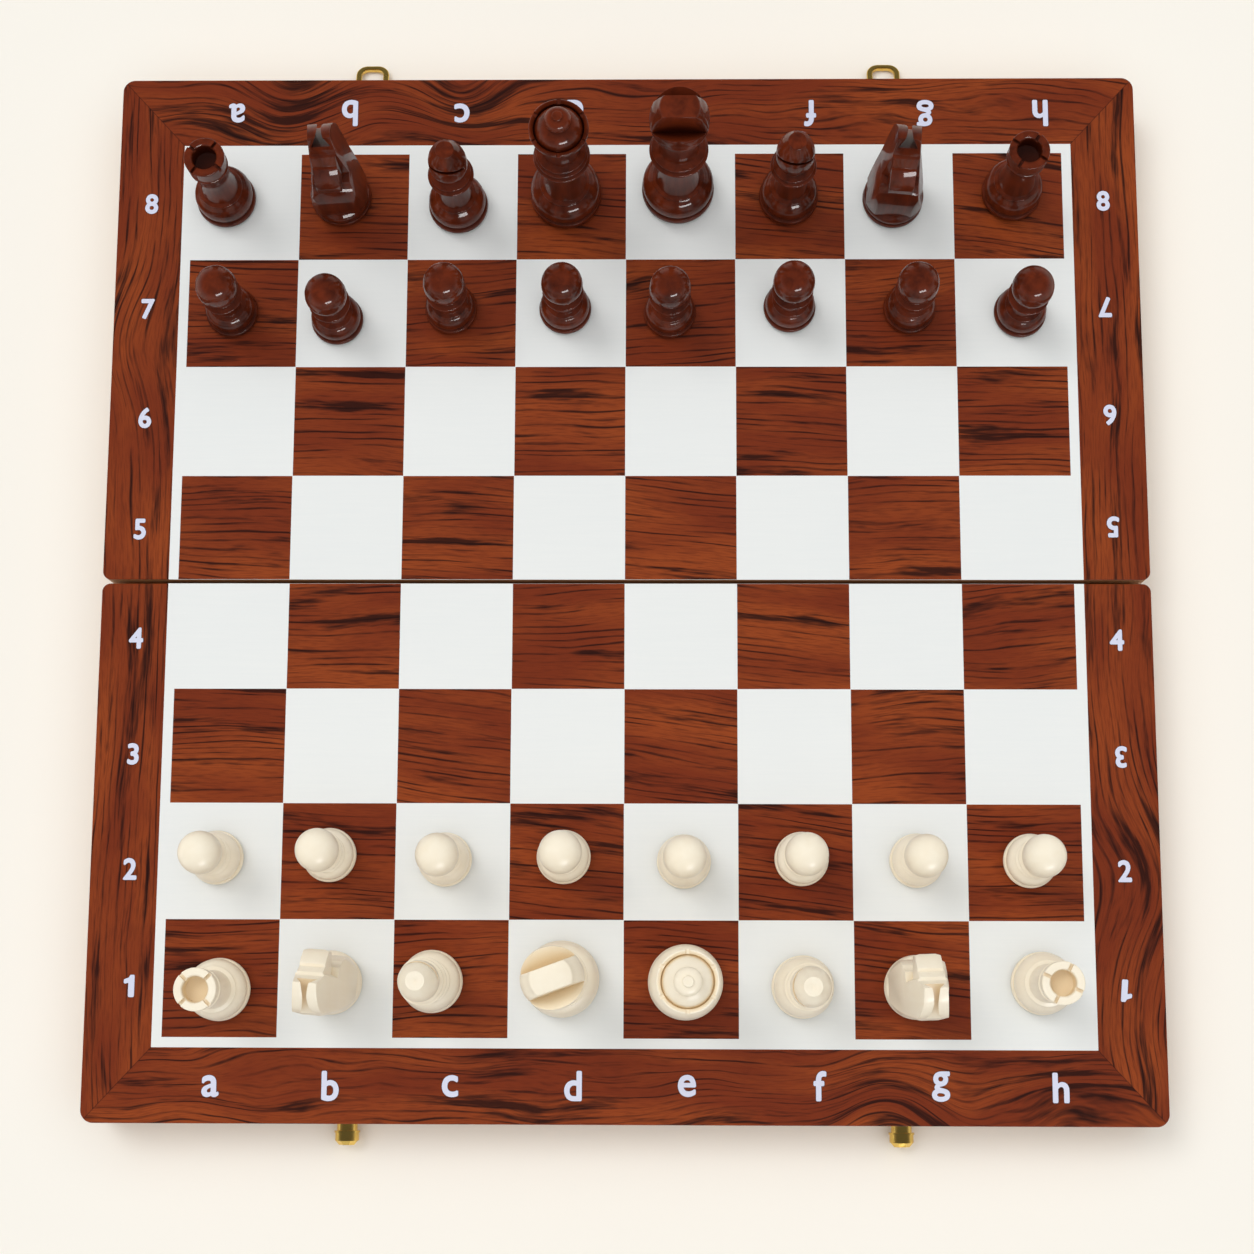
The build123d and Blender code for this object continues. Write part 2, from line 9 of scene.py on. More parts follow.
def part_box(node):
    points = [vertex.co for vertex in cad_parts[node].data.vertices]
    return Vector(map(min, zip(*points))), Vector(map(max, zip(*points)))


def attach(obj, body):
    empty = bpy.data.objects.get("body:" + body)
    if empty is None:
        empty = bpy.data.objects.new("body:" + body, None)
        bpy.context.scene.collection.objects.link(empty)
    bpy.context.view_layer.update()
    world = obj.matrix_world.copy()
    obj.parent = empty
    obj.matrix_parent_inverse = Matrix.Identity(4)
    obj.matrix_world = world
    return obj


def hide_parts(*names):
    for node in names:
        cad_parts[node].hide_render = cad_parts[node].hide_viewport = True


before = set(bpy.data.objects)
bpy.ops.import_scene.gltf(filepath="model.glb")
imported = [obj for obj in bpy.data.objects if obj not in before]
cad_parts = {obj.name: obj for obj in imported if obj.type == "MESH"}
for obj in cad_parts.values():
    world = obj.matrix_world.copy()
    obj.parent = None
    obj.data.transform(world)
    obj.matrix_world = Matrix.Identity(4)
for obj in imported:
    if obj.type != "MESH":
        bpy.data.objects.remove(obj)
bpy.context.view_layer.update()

bl_info = {
    "name": "Folding Chess Set",
    "version": (1, 0, 0),
    "blender": (4, 5, 0),
    "location": "View3D > Sidebar > Chess Set",
    "description": "Veneers, lettering, turned men, brass clasps and a plain stage for a folding chess set",
    "category": "Object",
}

MM = 0.001
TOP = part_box("far_border_veneer")[1].z
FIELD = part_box("far_light_field")[1]
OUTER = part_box("far_border_veneer")[1]
SQUARE_X = 40.6 * MM
SQUARE_Y = 41.2 * MM
SQUARES_END = 162.9 * MM
PAD = 0.8
SMOOTH_BELOW = 34
# Camera, nearly overhead: metres from the table under the seam's middle, degrees off plumb about X, Y and Z
CAMERA_AT = (0.0125, -0.1459, 0.81035)
CAMERA_TURN = (9.36, 0.84, 0.05)
FOCAL_PIXELS, PHOTO_PIXELS = 2200, 1254
# Swirls of the border's grain: middle and size in metres, how far the grain bends, and how much it darkens
BURLS = [
    ((0.094, -0.196), (0.019, 0.030), -0.016, 0.10),
    ((0.150, -0.180), (0.030, 0.012), -0.006, 0.08),
    ((-0.128, 0.180), (0.022, 0.030), 0.012, 0.10),
    ((-0.060, 0.186), (0.016, 0.020), 0.011, 0.10),
    ((-0.186, 0.092), (0.020, 0.022), 0.008, -0.02),
    ((0.186, -0.108), (0.024, 0.026), -0.013, 0.05),
]


def from_hex(text):
    """Linear red, green and blue of an sRGB hex colour."""
    parts = [int(text[i:i + 2], 16) / 255 for i in (1, 3, 5)]
    return [c / 12.92 if c <= 0.04045 else ((c + 0.055) / 1.055) ** 2.4 for c in parts]


def rgba(colour):
    """A colour socket's four numbers."""
    return (*colour[:3], 1.0)


# Settings


class BoardSettings(bpy.types.PropertyGroup):
    """Colours and figure of the board."""

    rosewood: bpy.props.FloatVectorProperty(
        name="Rosewood", description="Main colour of the dark veneer", subtype="COLOR", size=3,
        default=from_hex("#7A2F12"))
    rosewood_light: bpy.props.FloatVectorProperty(
        name="Rosewood, light", description="Orange-brown patches of the dark veneer",
        subtype="COLOR", size=3, default=from_hex("#944219"))
    rosewood_dark: bpy.props.FloatVectorProperty(
        name="Rosewood, streaks", description="Black-brown streaks of the dark veneer",
        subtype="COLOR", size=3, default=from_hex("#240D09"))
    pale: bpy.props.FloatVectorProperty(
        name="Pale veneer", description="Colour of the pale squares and strip", subtype="COLOR", size=3,
        default=from_hex("#EDEFED"))
    wall: bpy.props.FloatVectorProperty(
        name="Walls", description="Colour of the bare wood walls", subtype="COLOR", size=3,
        default=from_hex("#C99C72"))
    brass: bpy.props.FloatVectorProperty(
        name="Brass", description="Colour of the polished brass", subtype="COLOR", size=3,
        default=from_hex("#E8C469"))


class LetterSettings(bpy.types.PropertyGroup):
    """Size and colour of the printed letters and numbers."""

    tall: bpy.props.FloatProperty(
        name="Tall letters", description="Height of b, d, f, g and h", subtype="DISTANCE", unit="LENGTH",
        default=10.4 * MM)
    low: bpy.props.FloatProperty(
        name="Low letters", description="Height of a, c and e", subtype="DISTANCE", unit="LENGTH",
        default=7.6 * MM)
    number: bpy.props.FloatProperty(
        name="Numbers", description="Height of the numbers", subtype="DISTANCE", unit="LENGTH",
        default=7.8 * MM)
    ink: bpy.props.FloatVectorProperty(
        name="Ink", description="Colour of the print", subtype="COLOR", size=3, default=from_hex("#DDE0F4"))


class MenSettings(bpy.types.PropertyGroup):
    """Colours of the men and the fineness of their turning."""

    mahogany: bpy.props.FloatVectorProperty(
        name="Dark men", description="Mahogany stain under the lacquer", subtype="COLOR", size=3,
        default=from_hex("#6A2810"))
    # The deep stain is also the colour of the painted shade in the dark men's grooves and hollows
    mahogany_deep: bpy.props.FloatVectorProperty(
        name="Dark men, deep", description="Stain where the grain drinks more of it", subtype="COLOR", size=3,
        default=from_hex("#240A05"))
    cream: bpy.props.FloatVectorProperty(
        name="Light men", description="Cream lacquer", subtype="COLOR", size=3, default=from_hex("#FFF5DF"))
    sides: bpy.props.IntProperty(
        name="Sides", description="Facets round a turned man", default=72, min=24, max=128)


class StageSettings(bpy.types.PropertyGroup):
    """Floor, light and camera."""

    floor: bpy.props.FloatVectorProperty(
        name="Floor", description="Colour of the floor and the background", subtype="COLOR", size=3,
        default=from_hex("#F9F5EC"))
    horizon: bpy.props.FloatProperty(
        name="Walls", description="Light that comes from the walls round the table",
        default=0.93, min=0, max=3)
    ceiling: bpy.props.FloatProperty(
        name="Ceiling", description="Light that comes from straight above", default=0.12, min=0, max=3)
    sun: bpy.props.FloatProperty(
        name="Key light", description="Share of the light that comes from the key light",
        default=0.2, min=0, max=2)
    overhead: bpy.props.FloatProperty(
        name="Overhead", description="Share of the light that comes from overhead",
        default=0.635, min=0, max=2)


# Materials


def add_node(tree, kind, inputs=None, **settings):
    """Adds a node with its settings. An input given a node or a socket is linked to it, any other is set."""
    node = tree.nodes.new(kind)
    for name, value in settings.items():
        setattr(node, name, value)
    for key, value in (inputs or {}).items():
        if isinstance(value, bpy.types.Node):
            tree.links.new(value.outputs[0], node.inputs[key])
        elif isinstance(value, bpy.types.NodeSocket):
            tree.links.new(value, node.inputs[key])
        else:
            node.inputs[key].default_value = value
    return node


def new_material(name, plain, **shader):
    """A material, its node tree, its shader and the object's own coordinates.
    The plain colour is what the viewport shows."""
    material = bpy.data.materials.new(name)
    material.use_nodes = True
    material.diffuse_color = rgba(plain)
    tree = material.node_tree
    surface = tree.nodes["Principled BSDF"]
    surface.inputs["Base Color"].default_value = rgba(plain)
    for key, value in shader.items():
        surface.inputs[key.replace("_", " ")].default_value = value
    return material, tree, surface, add_node(tree, "ShaderNodeTexCoord").outputs["Object"]


def rosewood(name, settings, strips):
    """Rosewood veneer, sliced and lacquered satin: red-brown with black streaks along the grain, fine
    pores and orange-brown patches. On the border the grain follows each mitred strip. Each square is
    its own cut."""
    material, tree, surface, place = new_material(name, settings.rosewood, Specular_IOR_Level=0.12)
    place = add_node(tree, "ShaderNodeSeparateXYZ", {0: place})
    x, y, dark = place.outputs[0], place.outputs[1], 0.0
    if strips:
        out_x = add_node(tree, "ShaderNodeMath", {0: x}, operation="ABSOLUTE")
        out_x = add_node(tree, "ShaderNodeMath", {0: out_x, 1: FIELD.x}, operation="SUBTRACT")
        out_y = add_node(tree, "ShaderNodeMath", {0: y}, operation="ABSOLUTE")
        out_y = add_node(tree, "ShaderNodeMath", {0: out_y, 1: FIELD.y}, operation="SUBTRACT")
        slope = (OUTER.x - FIELD.x) / (OUTER.y - FIELD.y)
        out_y = add_node(tree, "ShaderNodeMath", {0: out_y, 1: slope}, operation="MULTIPLY")
        past = add_node(tree, "ShaderNodeMath", {0: out_x, 1: out_y}, operation="SUBTRACT")
        side = add_node(tree, "ShaderNodeMath", {0: past, 1: 0.0}, operation="GREATER_THAN")
        along = add_node(tree, "ShaderNodeMix", {0: side, 2: x, 3: y}, data_type="FLOAT")
        across = add_node(tree, "ShaderNodeMix", {0: side, 2: y, 3: x}, data_type="FLOAT")
        for middle, size, bend, darker in BURLS:
            offset = [-m / s for m, s in zip(middle, size)]
            bell = add_node(tree, "ShaderNodeCombineXYZ", {0: x, 1: y})
            bell = add_node(tree, "ShaderNodeMapping",
                            {0: bell, "Location": (*offset, 0.0), "Scale": (1 / size[0], 1 / size[1], 0.0)})
            bell = add_node(tree, "ShaderNodeVectorMath", {0: bell, 1: bell}, operation="DOT_PRODUCT")
            bell = add_node(tree, "ShaderNodeMath", {0: bell.outputs["Value"], 1: -1.0}, operation="MULTIPLY")
            bell = add_node(tree, "ShaderNodeMath", {0: bell}, operation="EXPONENT")
            across = add_node(tree, "ShaderNodeMath", {0: bell, 1: bend, 2: across}, operation="MULTIPLY_ADD")
            dark = add_node(tree, "ShaderNodeMath", {0: bell, 1: darker, 2: dark}, operation="MULTIPLY_ADD")
        grain = add_node(tree, "ShaderNodeCombineXYZ", {0: along, 1: across, 2: side})
        swirl = add_node(tree, "ShaderNodeMapRange", {0: side, 3: 0.030, 4: 0.011})
    else:
        column = add_node(tree, "ShaderNodeMath", {0: x, 1: SQUARE_X}, operation="DIVIDE")
        column = add_node(tree, "ShaderNodeMath", {0: column}, operation="FLOOR")
        row = add_node(tree, "ShaderNodeMath", {0: y}, operation="ABSOLUTE")
        row = add_node(tree, "ShaderNodeMath", {0: SQUARES_END, 1: row}, operation="SUBTRACT")
        row = add_node(tree, "ShaderNodeMath", {0: row, 1: SQUARE_Y}, operation="DIVIDE")
        row = add_node(tree, "ShaderNodeMath", {0: row}, operation="FLOOR")
        half = add_node(tree, "ShaderNodeMath", {0: y}, operation="SIGN")
        key = add_node(tree, "ShaderNodeCombineXYZ", {0: column, 1: row, 2: half})
        chance = add_node(tree, "ShaderNodeTexWhiteNoise", {"Vector": key})
        turn = add_node(tree, "ShaderNodeMapRange", {0: chance.outputs["Value"], 3: -0.10, 4: 0.14})
        flat = add_node(tree, "ShaderNodeCombineXYZ", {0: x, 1: y})
        grain = add_node(tree, "ShaderNodeVectorRotate", {"Vector": flat, "Angle": turn})
        cut = chance.outputs["Color"]
        grain = add_node(tree, "ShaderNodeVectorMath", {0: grain, 1: cut}, operation="ADD")
        swirl = add_node(tree, "ShaderNodeMapRange", {0: chance.outputs["Value"], 3: 0.020, 4: 0.006})
    # Slow waves carry every streak, some 60 mm long
    wave = add_node(tree, "ShaderNodeMapping", {"Vector": grain, "Scale": (11.0, 26.0, 3.0)})
    wave = add_node(tree, "ShaderNodeTexNoise",
                    {"Vector": wave, "Scale": 1.0, "Detail": 2.5, "Roughness": 0.45})
    wave = add_node(tree, "ShaderNodeMath", {0: wave, 1: 0.5}, operation="SUBTRACT")
    wave = add_node(tree, "ShaderNodeMath", {0: wave, 1: swirl}, operation="MULTIPLY")
    wave = add_node(tree, "ShaderNodeCombineXYZ", {1: wave})
    bent = add_node(tree, "ShaderNodeVectorMath", {0: grain, 1: wave}, operation="ADD")
    # Growth lines some 2.4 mm apart, each coming and going along its length
    drift = add_node(tree, "ShaderNodeMapping",
                     {"Vector": bent, "Scale": (9.0, 70.0, 3.0), "Location": (4.0, 1.0, 6.0)})
    drift = add_node(tree, "ShaderNodeTexNoise",
                     {"Vector": drift, "Scale": 1.0, "Detail": 3.0, "Roughness": 0.55})
    drift = add_node(tree, "ShaderNodeMath", {0: drift, 1: 17.0}, operation="MULTIPLY")
    rings = add_node(tree, "ShaderNodeSeparateXYZ", {0: bent}).outputs[1]
    rings = add_node(tree, "ShaderNodeMath", {0: rings, 1: 2600.0, 2: drift}, operation="MULTIPLY_ADD")
    rings = add_node(tree, "ShaderNodeMath", {0: rings}, operation="SINE")
    rings = add_node(tree, "ShaderNodeMapRange", {0: rings, 1: 0.35, 2: 1.0})
    lines = add_node(tree, "ShaderNodeMapping", {"Vector": bent, "Scale": (24.0, 380.0, 5.0)})
    lines = add_node(tree, "ShaderNodeTexNoise",
                     {"Vector": lines, "Scale": 1.0, "Detail": 4.0, "Roughness": 0.65})
    lines = add_node(tree, "ShaderNodeMapRange", {0: lines, 1: 0.44, 2: 0.60})
    lines = add_node(tree, "ShaderNodeMath", {0: lines, 1: rings}, operation="MULTIPLY")
    # Broad black streaks 4 to 10 mm apart
    bands = add_node(tree, "ShaderNodeMapping",
                     {"Vector": bent, "Scale": (15.0, 170.0, 5.0), "Location": (7.0, 3.0, 1.0)})
    bands = add_node(tree, "ShaderNodeTexNoise",
                     {"Vector": bands, "Scale": 1.0, "Detail": 4.0, "Roughness": 0.66})
    bands = add_node(tree, "ShaderNodeMath", {0: bands, 1: dark}, operation="ADD")
    bands = add_node(tree, "ShaderNodeMapRange", {0: bands, 1: 0.55 if strips else 0.56, 2: 0.65})
    patches = add_node(tree, "ShaderNodeMapping",
                       {"Vector": bent, "Scale": (14.0, 60.0, 5.0), "Location": (2.0, 9.0, 4.0)})
    patches = add_node(tree, "ShaderNodeTexNoise", {"Vector": patches, "Scale": 1.0, "Detail": 2.0})
    patches = add_node(tree, "ShaderNodeMapRange", {0: patches, 1: 0.42, 2: 0.66})
    # Open pores: dashes 0.3 mm wide and a few millimetres long
    pores = add_node(tree, "ShaderNodeMapping", {"Vector": bent, "Scale": (170.0, 2300.0, 9.0)})
    pores = add_node(tree, "ShaderNodeTexNoise", {"Vector": pores, "Scale": 1.0, "Detail": 1.0})
    pores = add_node(tree, "ShaderNodeMapRange", {0: pores, 1: 0.46, 2: 0.66})
    middle = [0.62 * c + 0.38 * d for c, d in zip(settings.rosewood, settings.rosewood_dark)]
    colour = add_node(tree, "ShaderNodeMixRGB",
                      {0: patches, 1: rgba(settings.rosewood), 2: rgba(settings.rosewood_light)})
    black = settings.rosewood_dark
    for layer, strength, stain in ((pores, 0.42, middle), (lines, 0.92, black), (bands, 0.86, black)):
        weight = add_node(tree, "ShaderNodeMath", {0: layer, 1: strength}, operation="MULTIPLY")
        colour = add_node(tree, "ShaderNodeMixRGB", {0: weight, 1: colour, 2: rgba(stain)})
    if strips:
        # Hairline of glue in each mitre
        joint = add_node(tree, "ShaderNodeMath", {0: past}, operation="ABSOLUTE")
        joint = add_node(tree, "ShaderNodeMapRange", {0: joint, 1: 0.0001, 2: 0.0003, 3: 0.55, 4: 0.0})
        colour = add_node(tree, "ShaderNodeMixRGB", {0: joint, 1: colour, 2: rgba(black)})
    tree.links.new(colour.outputs[0], surface.inputs["Base Color"])
    sheen = add_node(tree, "ShaderNodeMapRange", {0: lines, 3: 0.48, 4: 0.58})
    tree.links.new(sheen.outputs[0], surface.inputs["Roughness"])
    bump = add_node(tree, "ShaderNodeBump",
                    {"Strength": 0.12, "Distance": 0.0002, "Height": pores}, invert=True)
    tree.links.new(bump.outputs[0], surface.inputs["Normal"])
    return material


def pale_veneer(settings):
    """Dyed white veneer under satin lacquer: nearly plain, cool, with the faintest cloud and grain."""
    material, tree, surface, place = new_material(
        "dyed_white_veneer", settings.pale, Roughness=0.52, Specular_IOR_Level=0.2)
    cloud = add_node(tree, "ShaderNodeTexNoise", {"Vector": place, "Scale": 22.0, "Detail": 2.0})
    hair = add_node(tree, "ShaderNodeMapping", {"Vector": place, "Scale": (60.0, 1500.0, 60.0)})
    hair = add_node(tree, "ShaderNodeTexNoise", {"Vector": hair, "Scale": 1.0, "Detail": 2.0})
    both = add_node(tree, "ShaderNodeMath", {0: cloud, 1: hair}, operation="ADD")
    both = add_node(tree, "ShaderNodeMapRange", {0: both, 1: 0.7, 2: 1.3, 3: 0.0, 4: 0.5})
    cool = [c * s for c, s in zip(settings.pale, (0.955, 0.965, 0.975))]
    colour = add_node(tree, "ShaderNodeMixRGB", {0: both, 1: rgba(settings.pale), 2: rgba(cool)})
    tree.links.new(colour.outputs[0], surface.inputs["Base Color"])
    bump = add_node(tree, "ShaderNodeBump", {"Strength": 0.04, "Distance": 0.0001, "Height": hair})
    tree.links.new(bump.outputs[0], surface.inputs["Normal"])
    return material


def wall_wood(name, colour, along):
    """Planed beech under a thin satin varnish: straight grain with the short dark flecks of its rays."""
    material, tree, surface, place = new_material(name, colour, Roughness=0.5)
    straight = [9.0 if axis == along else 420.0 for axis in range(3)]
    grain = add_node(tree, "ShaderNodeMapping", {"Vector": place, "Scale": straight})
    grain = add_node(tree, "ShaderNodeTexNoise",
                     {"Vector": grain, "Scale": 1.0, "Detail": 3.0, "Distortion": 0.3})
    short = [260.0 if axis == along else 1900.0 for axis in range(3)]
    flecks = add_node(tree, "ShaderNodeMapping", {"Vector": place, "Scale": short})
    flecks = add_node(tree, "ShaderNodeTexNoise", {"Vector": flecks, "Scale": 1.0, "Detail": 1.0})
    flecks = add_node(tree, "ShaderNodeMapRange", {0: flecks, 1: 0.58, 2: 0.75, 3: 0.0, 4: 0.5})
    grain = add_node(tree, "ShaderNodeMapRange", {0: grain, 1: 0.35, 2: 0.7, 3: 0.0, 4: 0.5})
    deep = [c * s for c, s in zip(colour, (0.74, 0.66, 0.58))]
    mixed = add_node(tree, "ShaderNodeMixRGB", {0: grain, 1: rgba(colour), 2: rgba(deep)})
    mixed = add_node(tree, "ShaderNodeMixRGB", {0: flecks, 1: mixed, 2: rgba(deep)})
    tree.links.new(mixed.outputs[0], surface.inputs["Base Color"])
    bump = add_node(tree, "ShaderNodeBump", {"Strength": 0.15, "Distance": 0.0002, "Height": grain})
    tree.links.new(bump.outputs[0], surface.inputs["Normal"])
    return material


def plywood(settings):
    """Thin birch plywood, sanded: three plies, the middle one showing its end grain darker at the edge."""
    material, tree, surface, place = new_material("birch_plywood", settings.wall, Roughness=0.62)
    height = add_node(tree, "ShaderNodeSeparateXYZ", {0: place}).outputs[2]
    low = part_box("far_top_panel")[0].z
    ply = add_node(tree, "ShaderNodeMapRange", {0: height, 1: low, 2: low + 4 * MM, 3: 0.0, 4: 3.0})
    ply = add_node(tree, "ShaderNodeMath", {0: ply, 1: 1.5}, operation="SUBTRACT")
    ply = add_node(tree, "ShaderNodeMath", {0: ply}, operation="ABSOLUTE")
    ply = add_node(tree, "ShaderNodeMapRange", {0: ply, 1: 0.45, 2: 0.55, 3: 0.8, 4: 0.0})
    grain = add_node(tree, "ShaderNodeMapping", {"Vector": place, "Scale": (30.0, 340.0, 900.0)})
    grain = add_node(tree, "ShaderNodeTexNoise", {"Vector": grain, "Scale": 1.0, "Detail": 3.0})
    grain = add_node(tree, "ShaderNodeMapRange", {0: grain, 1: 0.35, 2: 0.7, 3: 0.0, 4: 0.4})
    deep = [c * s for c, s in zip(settings.wall, (0.62, 0.55, 0.48))]
    mixed = add_node(tree, "ShaderNodeMixRGB", {0: grain, 1: rgba(settings.wall), 2: rgba(deep)})
    mixed = add_node(tree, "ShaderNodeMixRGB", {0: ply, 1: mixed, 2: rgba(deep)})
    tree.links.new(mixed.outputs[0], surface.inputs["Base Color"])
    return material


def polished_brass(settings):
    """Stamped and turned brass, polished: fine brush lines and a little tarnish break up the mirror."""
    material, tree, surface, place = new_material(
        "polished_brass", settings.brass, Roughness=0.2, Metallic=1.0)
    tarnish = add_node(tree, "ShaderNodeTexNoise", {"Vector": place, "Scale": 420.0, "Detail": 3.0})
    tarnish = add_node(tree, "ShaderNodeMapRange", {0: tarnish, 1: 0.45, 2: 0.75, 3: 0.0, 4: 0.45})
    dull = [c * s for c, s in zip(settings.brass, (0.62, 0.52, 0.38))]
    colour = add_node(tree, "ShaderNodeMixRGB", {0: tarnish, 1: rgba(settings.brass), 2: rgba(dull)})
    tree.links.new(colour.outputs[0], surface.inputs["Base Color"])
    rough = add_node(tree, "ShaderNodeMapRange", {0: tarnish, 1: 0.0, 2: 0.45, 3: 0.14, 4: 0.3})
    tree.links.new(rough.outputs[0], surface.inputs["Roughness"])
    brush = add_node(tree, "ShaderNodeMapping", {"Vector": place, "Scale": (300.0, 300.0, 6000.0)})
    brush = add_node(tree, "ShaderNodeTexNoise", {"Vector": brush, "Scale": 1.0})
    bump = add_node(tree, "ShaderNodeBump", {"Strength": 0.05, "Distance": 0.00005, "Height": brush})
    tree.links.new(bump.outputs[0], surface.inputs["Normal"])
    return material


def rolled_steel(name, level):
    """Cold-rolled steel sheet or wire: grey, drawn lines along X."""
    material, tree, surface, place = new_material(name, [level] * 3, Roughness=0.38, Metallic=1.0)
    lines = add_node(tree, "ShaderNodeMapping", {"Vector": place, "Scale": (20.0, 2400.0, 2400.0)})
    lines = add_node(tree, "ShaderNodeTexNoise", {"Vector": lines, "Scale": 1.0, "Detail": 2.0})
    rough = add_node(tree, "ShaderNodeMapRange", {0: lines, 3: 0.3, 4: 0.5})
    tree.links.new(rough.outputs[0], surface.inputs["Roughness"])
    colour = add_node(tree, "ShaderNodeMixRGB", {0: lines, 1: rgba([level * 0.8] * 3), 2: rgba([level] * 3)})
    tree.links.new(colour.outputs[0], surface.inputs["Base Color"])
    return material


def felt(name, colour):
    """Pressed wool felt: matt, with a fine nap a third of a millimetre across."""
    material, tree, surface, place = new_material(name, colour, Roughness=0.95)
    nap = add_node(tree, "ShaderNodeTexNoise",
                   {"Vector": place, "Scale": 1600.0, "Detail": 3.0, "Roughness": 0.7})
    light = [min(1.0, c * 1.9 + 0.01) for c in colour]
    mixed = add_node(tree, "ShaderNodeMixRGB", {0: nap, 1: rgba([c * 0.6 for c in colour]), 2: rgba(light)})
    tree.links.new(mixed.outputs[0], surface.inputs["Base Color"])
    bump = add_node(tree, "ShaderNodeBump", {"Strength": 0.5, "Distance": 0.0003, "Height": nap})
    tree.links.new(bump.outputs[0], surface.inputs["Normal"])
    return material


def lacquered_wood(name, colour, deep, amount, gloss, coat, haze):
    """Turned hardwood, stained and dipped in gloss lacquer: soft upright grain under a clear coat, and
    painted shade darkening its grooves and hollows.
    The amount is how far the grain darkens the stain. Gloss is the wood's own shine, coat is the
    lacquer's and haze its blur."""
    material, tree, surface, place = new_material(
        name, colour, Roughness=0.45, Specular_IOR_Level=gloss, Coat_Weight=coat, Coat_Roughness=haze)
    grain = add_node(tree, "ShaderNodeMapping", {"Vector": place, "Scale": (330.0, 330.0, 26.0)})
    grain = add_node(tree, "ShaderNodeTexNoise",
                     {"Vector": grain, "Scale": 1.0, "Detail": 3.0, "Distortion": 0.4})
    cloud = add_node(tree, "ShaderNodeTexNoise", {"Vector": place, "Scale": 70.0, "Detail": 2.0})
    both = add_node(tree, "ShaderNodeMath", {0: grain, 1: cloud}, operation="ADD")
    both = add_node(tree, "ShaderNodeMapRange", {0: both, 1: 0.75, 2: 1.3, 3: 0.0, 4: amount})
    # Painted shade: the deep colour is mixed in where ambient occlusion finds grooves and hollows
    painted_shade = add_node(tree, "ShaderNodeAmbientOcclusion", {"Distance": 0.009}, samples=8)
    painted_shade = add_node(tree, "ShaderNodeMapRange", {0: painted_shade.outputs["AO"], 1: 0.2, 2: 0.9, 3: 0.9, 4: 0.0})
    both = add_node(tree, "ShaderNodeMath", {0: both, 1: painted_shade}, operation="MAXIMUM")
    mixed = add_node(tree, "ShaderNodeMixRGB", {0: both, 1: rgba(colour), 2: rgba(deep)})
    tree.links.new(mixed.outputs[0], surface.inputs["Base Color"])
    bump = add_node(tree, "ShaderNodeBump", {"Strength": 0.02, "Distance": 0.0002, "Height": grain})
    tree.links.new(bump.outputs[0], surface.inputs["Normal"])
    return material


def print_ink(name, colour):
    """Screen-printed ink: even, slightly thick, a little shinier than the lacquer under it."""
    material, tree, surface, place = new_material(name, colour, Roughness=0.35)
    cloud = add_node(tree, "ShaderNodeTexNoise", {"Vector": place, "Scale": 900.0, "Detail": 2.0})
    thin = [c * 0.94 for c in colour]
    mixed = add_node(tree, "ShaderNodeMixRGB", {0: cloud, 1: rgba(thin), 2: rgba(colour)})
    tree.links.new(mixed.outputs[0], surface.inputs["Base Color"])
    return material


def dress(nodes, material):
    """Gives CAD nodes a material."""
    for name in nodes:
        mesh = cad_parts[name].data
        mesh.materials.clear()
        mesh.materials.append(material)


# Shapes


def arc_points(here, there, bulge):
    """Points after here up to there, on a line or on the arc that stands out to the right by its bulge."""
    if not bulge:
        return [there]
    across, up = there[0] - here[0], there[1] - here[1]
    half = hypot(across, up) / 2
    radius = (half * half + bulge * bulge) / (2 * abs(bulge))
    side = 1 if bulge > 0 else -1
    away = side * (radius - abs(bulge)) / (2 * half)
    middle = ((here[0] + there[0]) / 2 - up * away, (here[1] + there[1]) / 2 + across * away)
    sweep = side * 4 * atan(abs(bulge) / half)
    start = atan2(here[1] - middle[1], here[0] - middle[0])
    steps = max(2, round(abs(sweep) / radians(8)))
    points = []
    for step in range(1, steps):
        angle = start + sweep * step / steps
        points.append((middle[0] + radius * cos(angle), middle[1] + radius * sin(angle)))
    return points + [there]


def trace(outline, start):
    """Every point of an outline that is given as radius, height and bulge."""
    points = [start]
    for across, up, bulge in outline:
        points += arc_points(points[-1], (across, up), bulge)
    return points


def spun(points, sides):
    """Closed shape turned from an outline in millimetres about the upright axis."""
    shape = bmesh.new()
    verts = [shape.verts.new((across * MM, 0, up * MM)) for across, up in points]
    edges = [shape.edges.new(pair) for pair in zip(verts, verts[1:])]
    bmesh.ops.spin(shape, geom=verts + edges, cent=(0, 0, 0), axis=(0, 0, 1), angle=2 * pi, steps=sides,
                   use_merge=True)
    bmesh.ops.remove_doubles(shape, verts=shape.verts, dist=1e-7)
    bmesh.ops.recalc_face_normals(shape, faces=shape.faces)
    return shape


def sawn(points, run):
    """Prism on a flat outline in millimetres, run along a vector."""
    shape = bmesh.new()
    face = shape.faces.new([shape.verts.new(Vector(point) * MM) for point in points])
    grown = bmesh.ops.extrude_face_region(shape, geom=[face])
    ends = [item for item in grown["geom"] if isinstance(item, bmesh.types.BMVert)]
    bmesh.ops.translate(shape, vec=Vector(run) * MM, verts=ends)
    bmesh.ops.recalc_face_normals(shape, faces=shape.faces)
    return shape


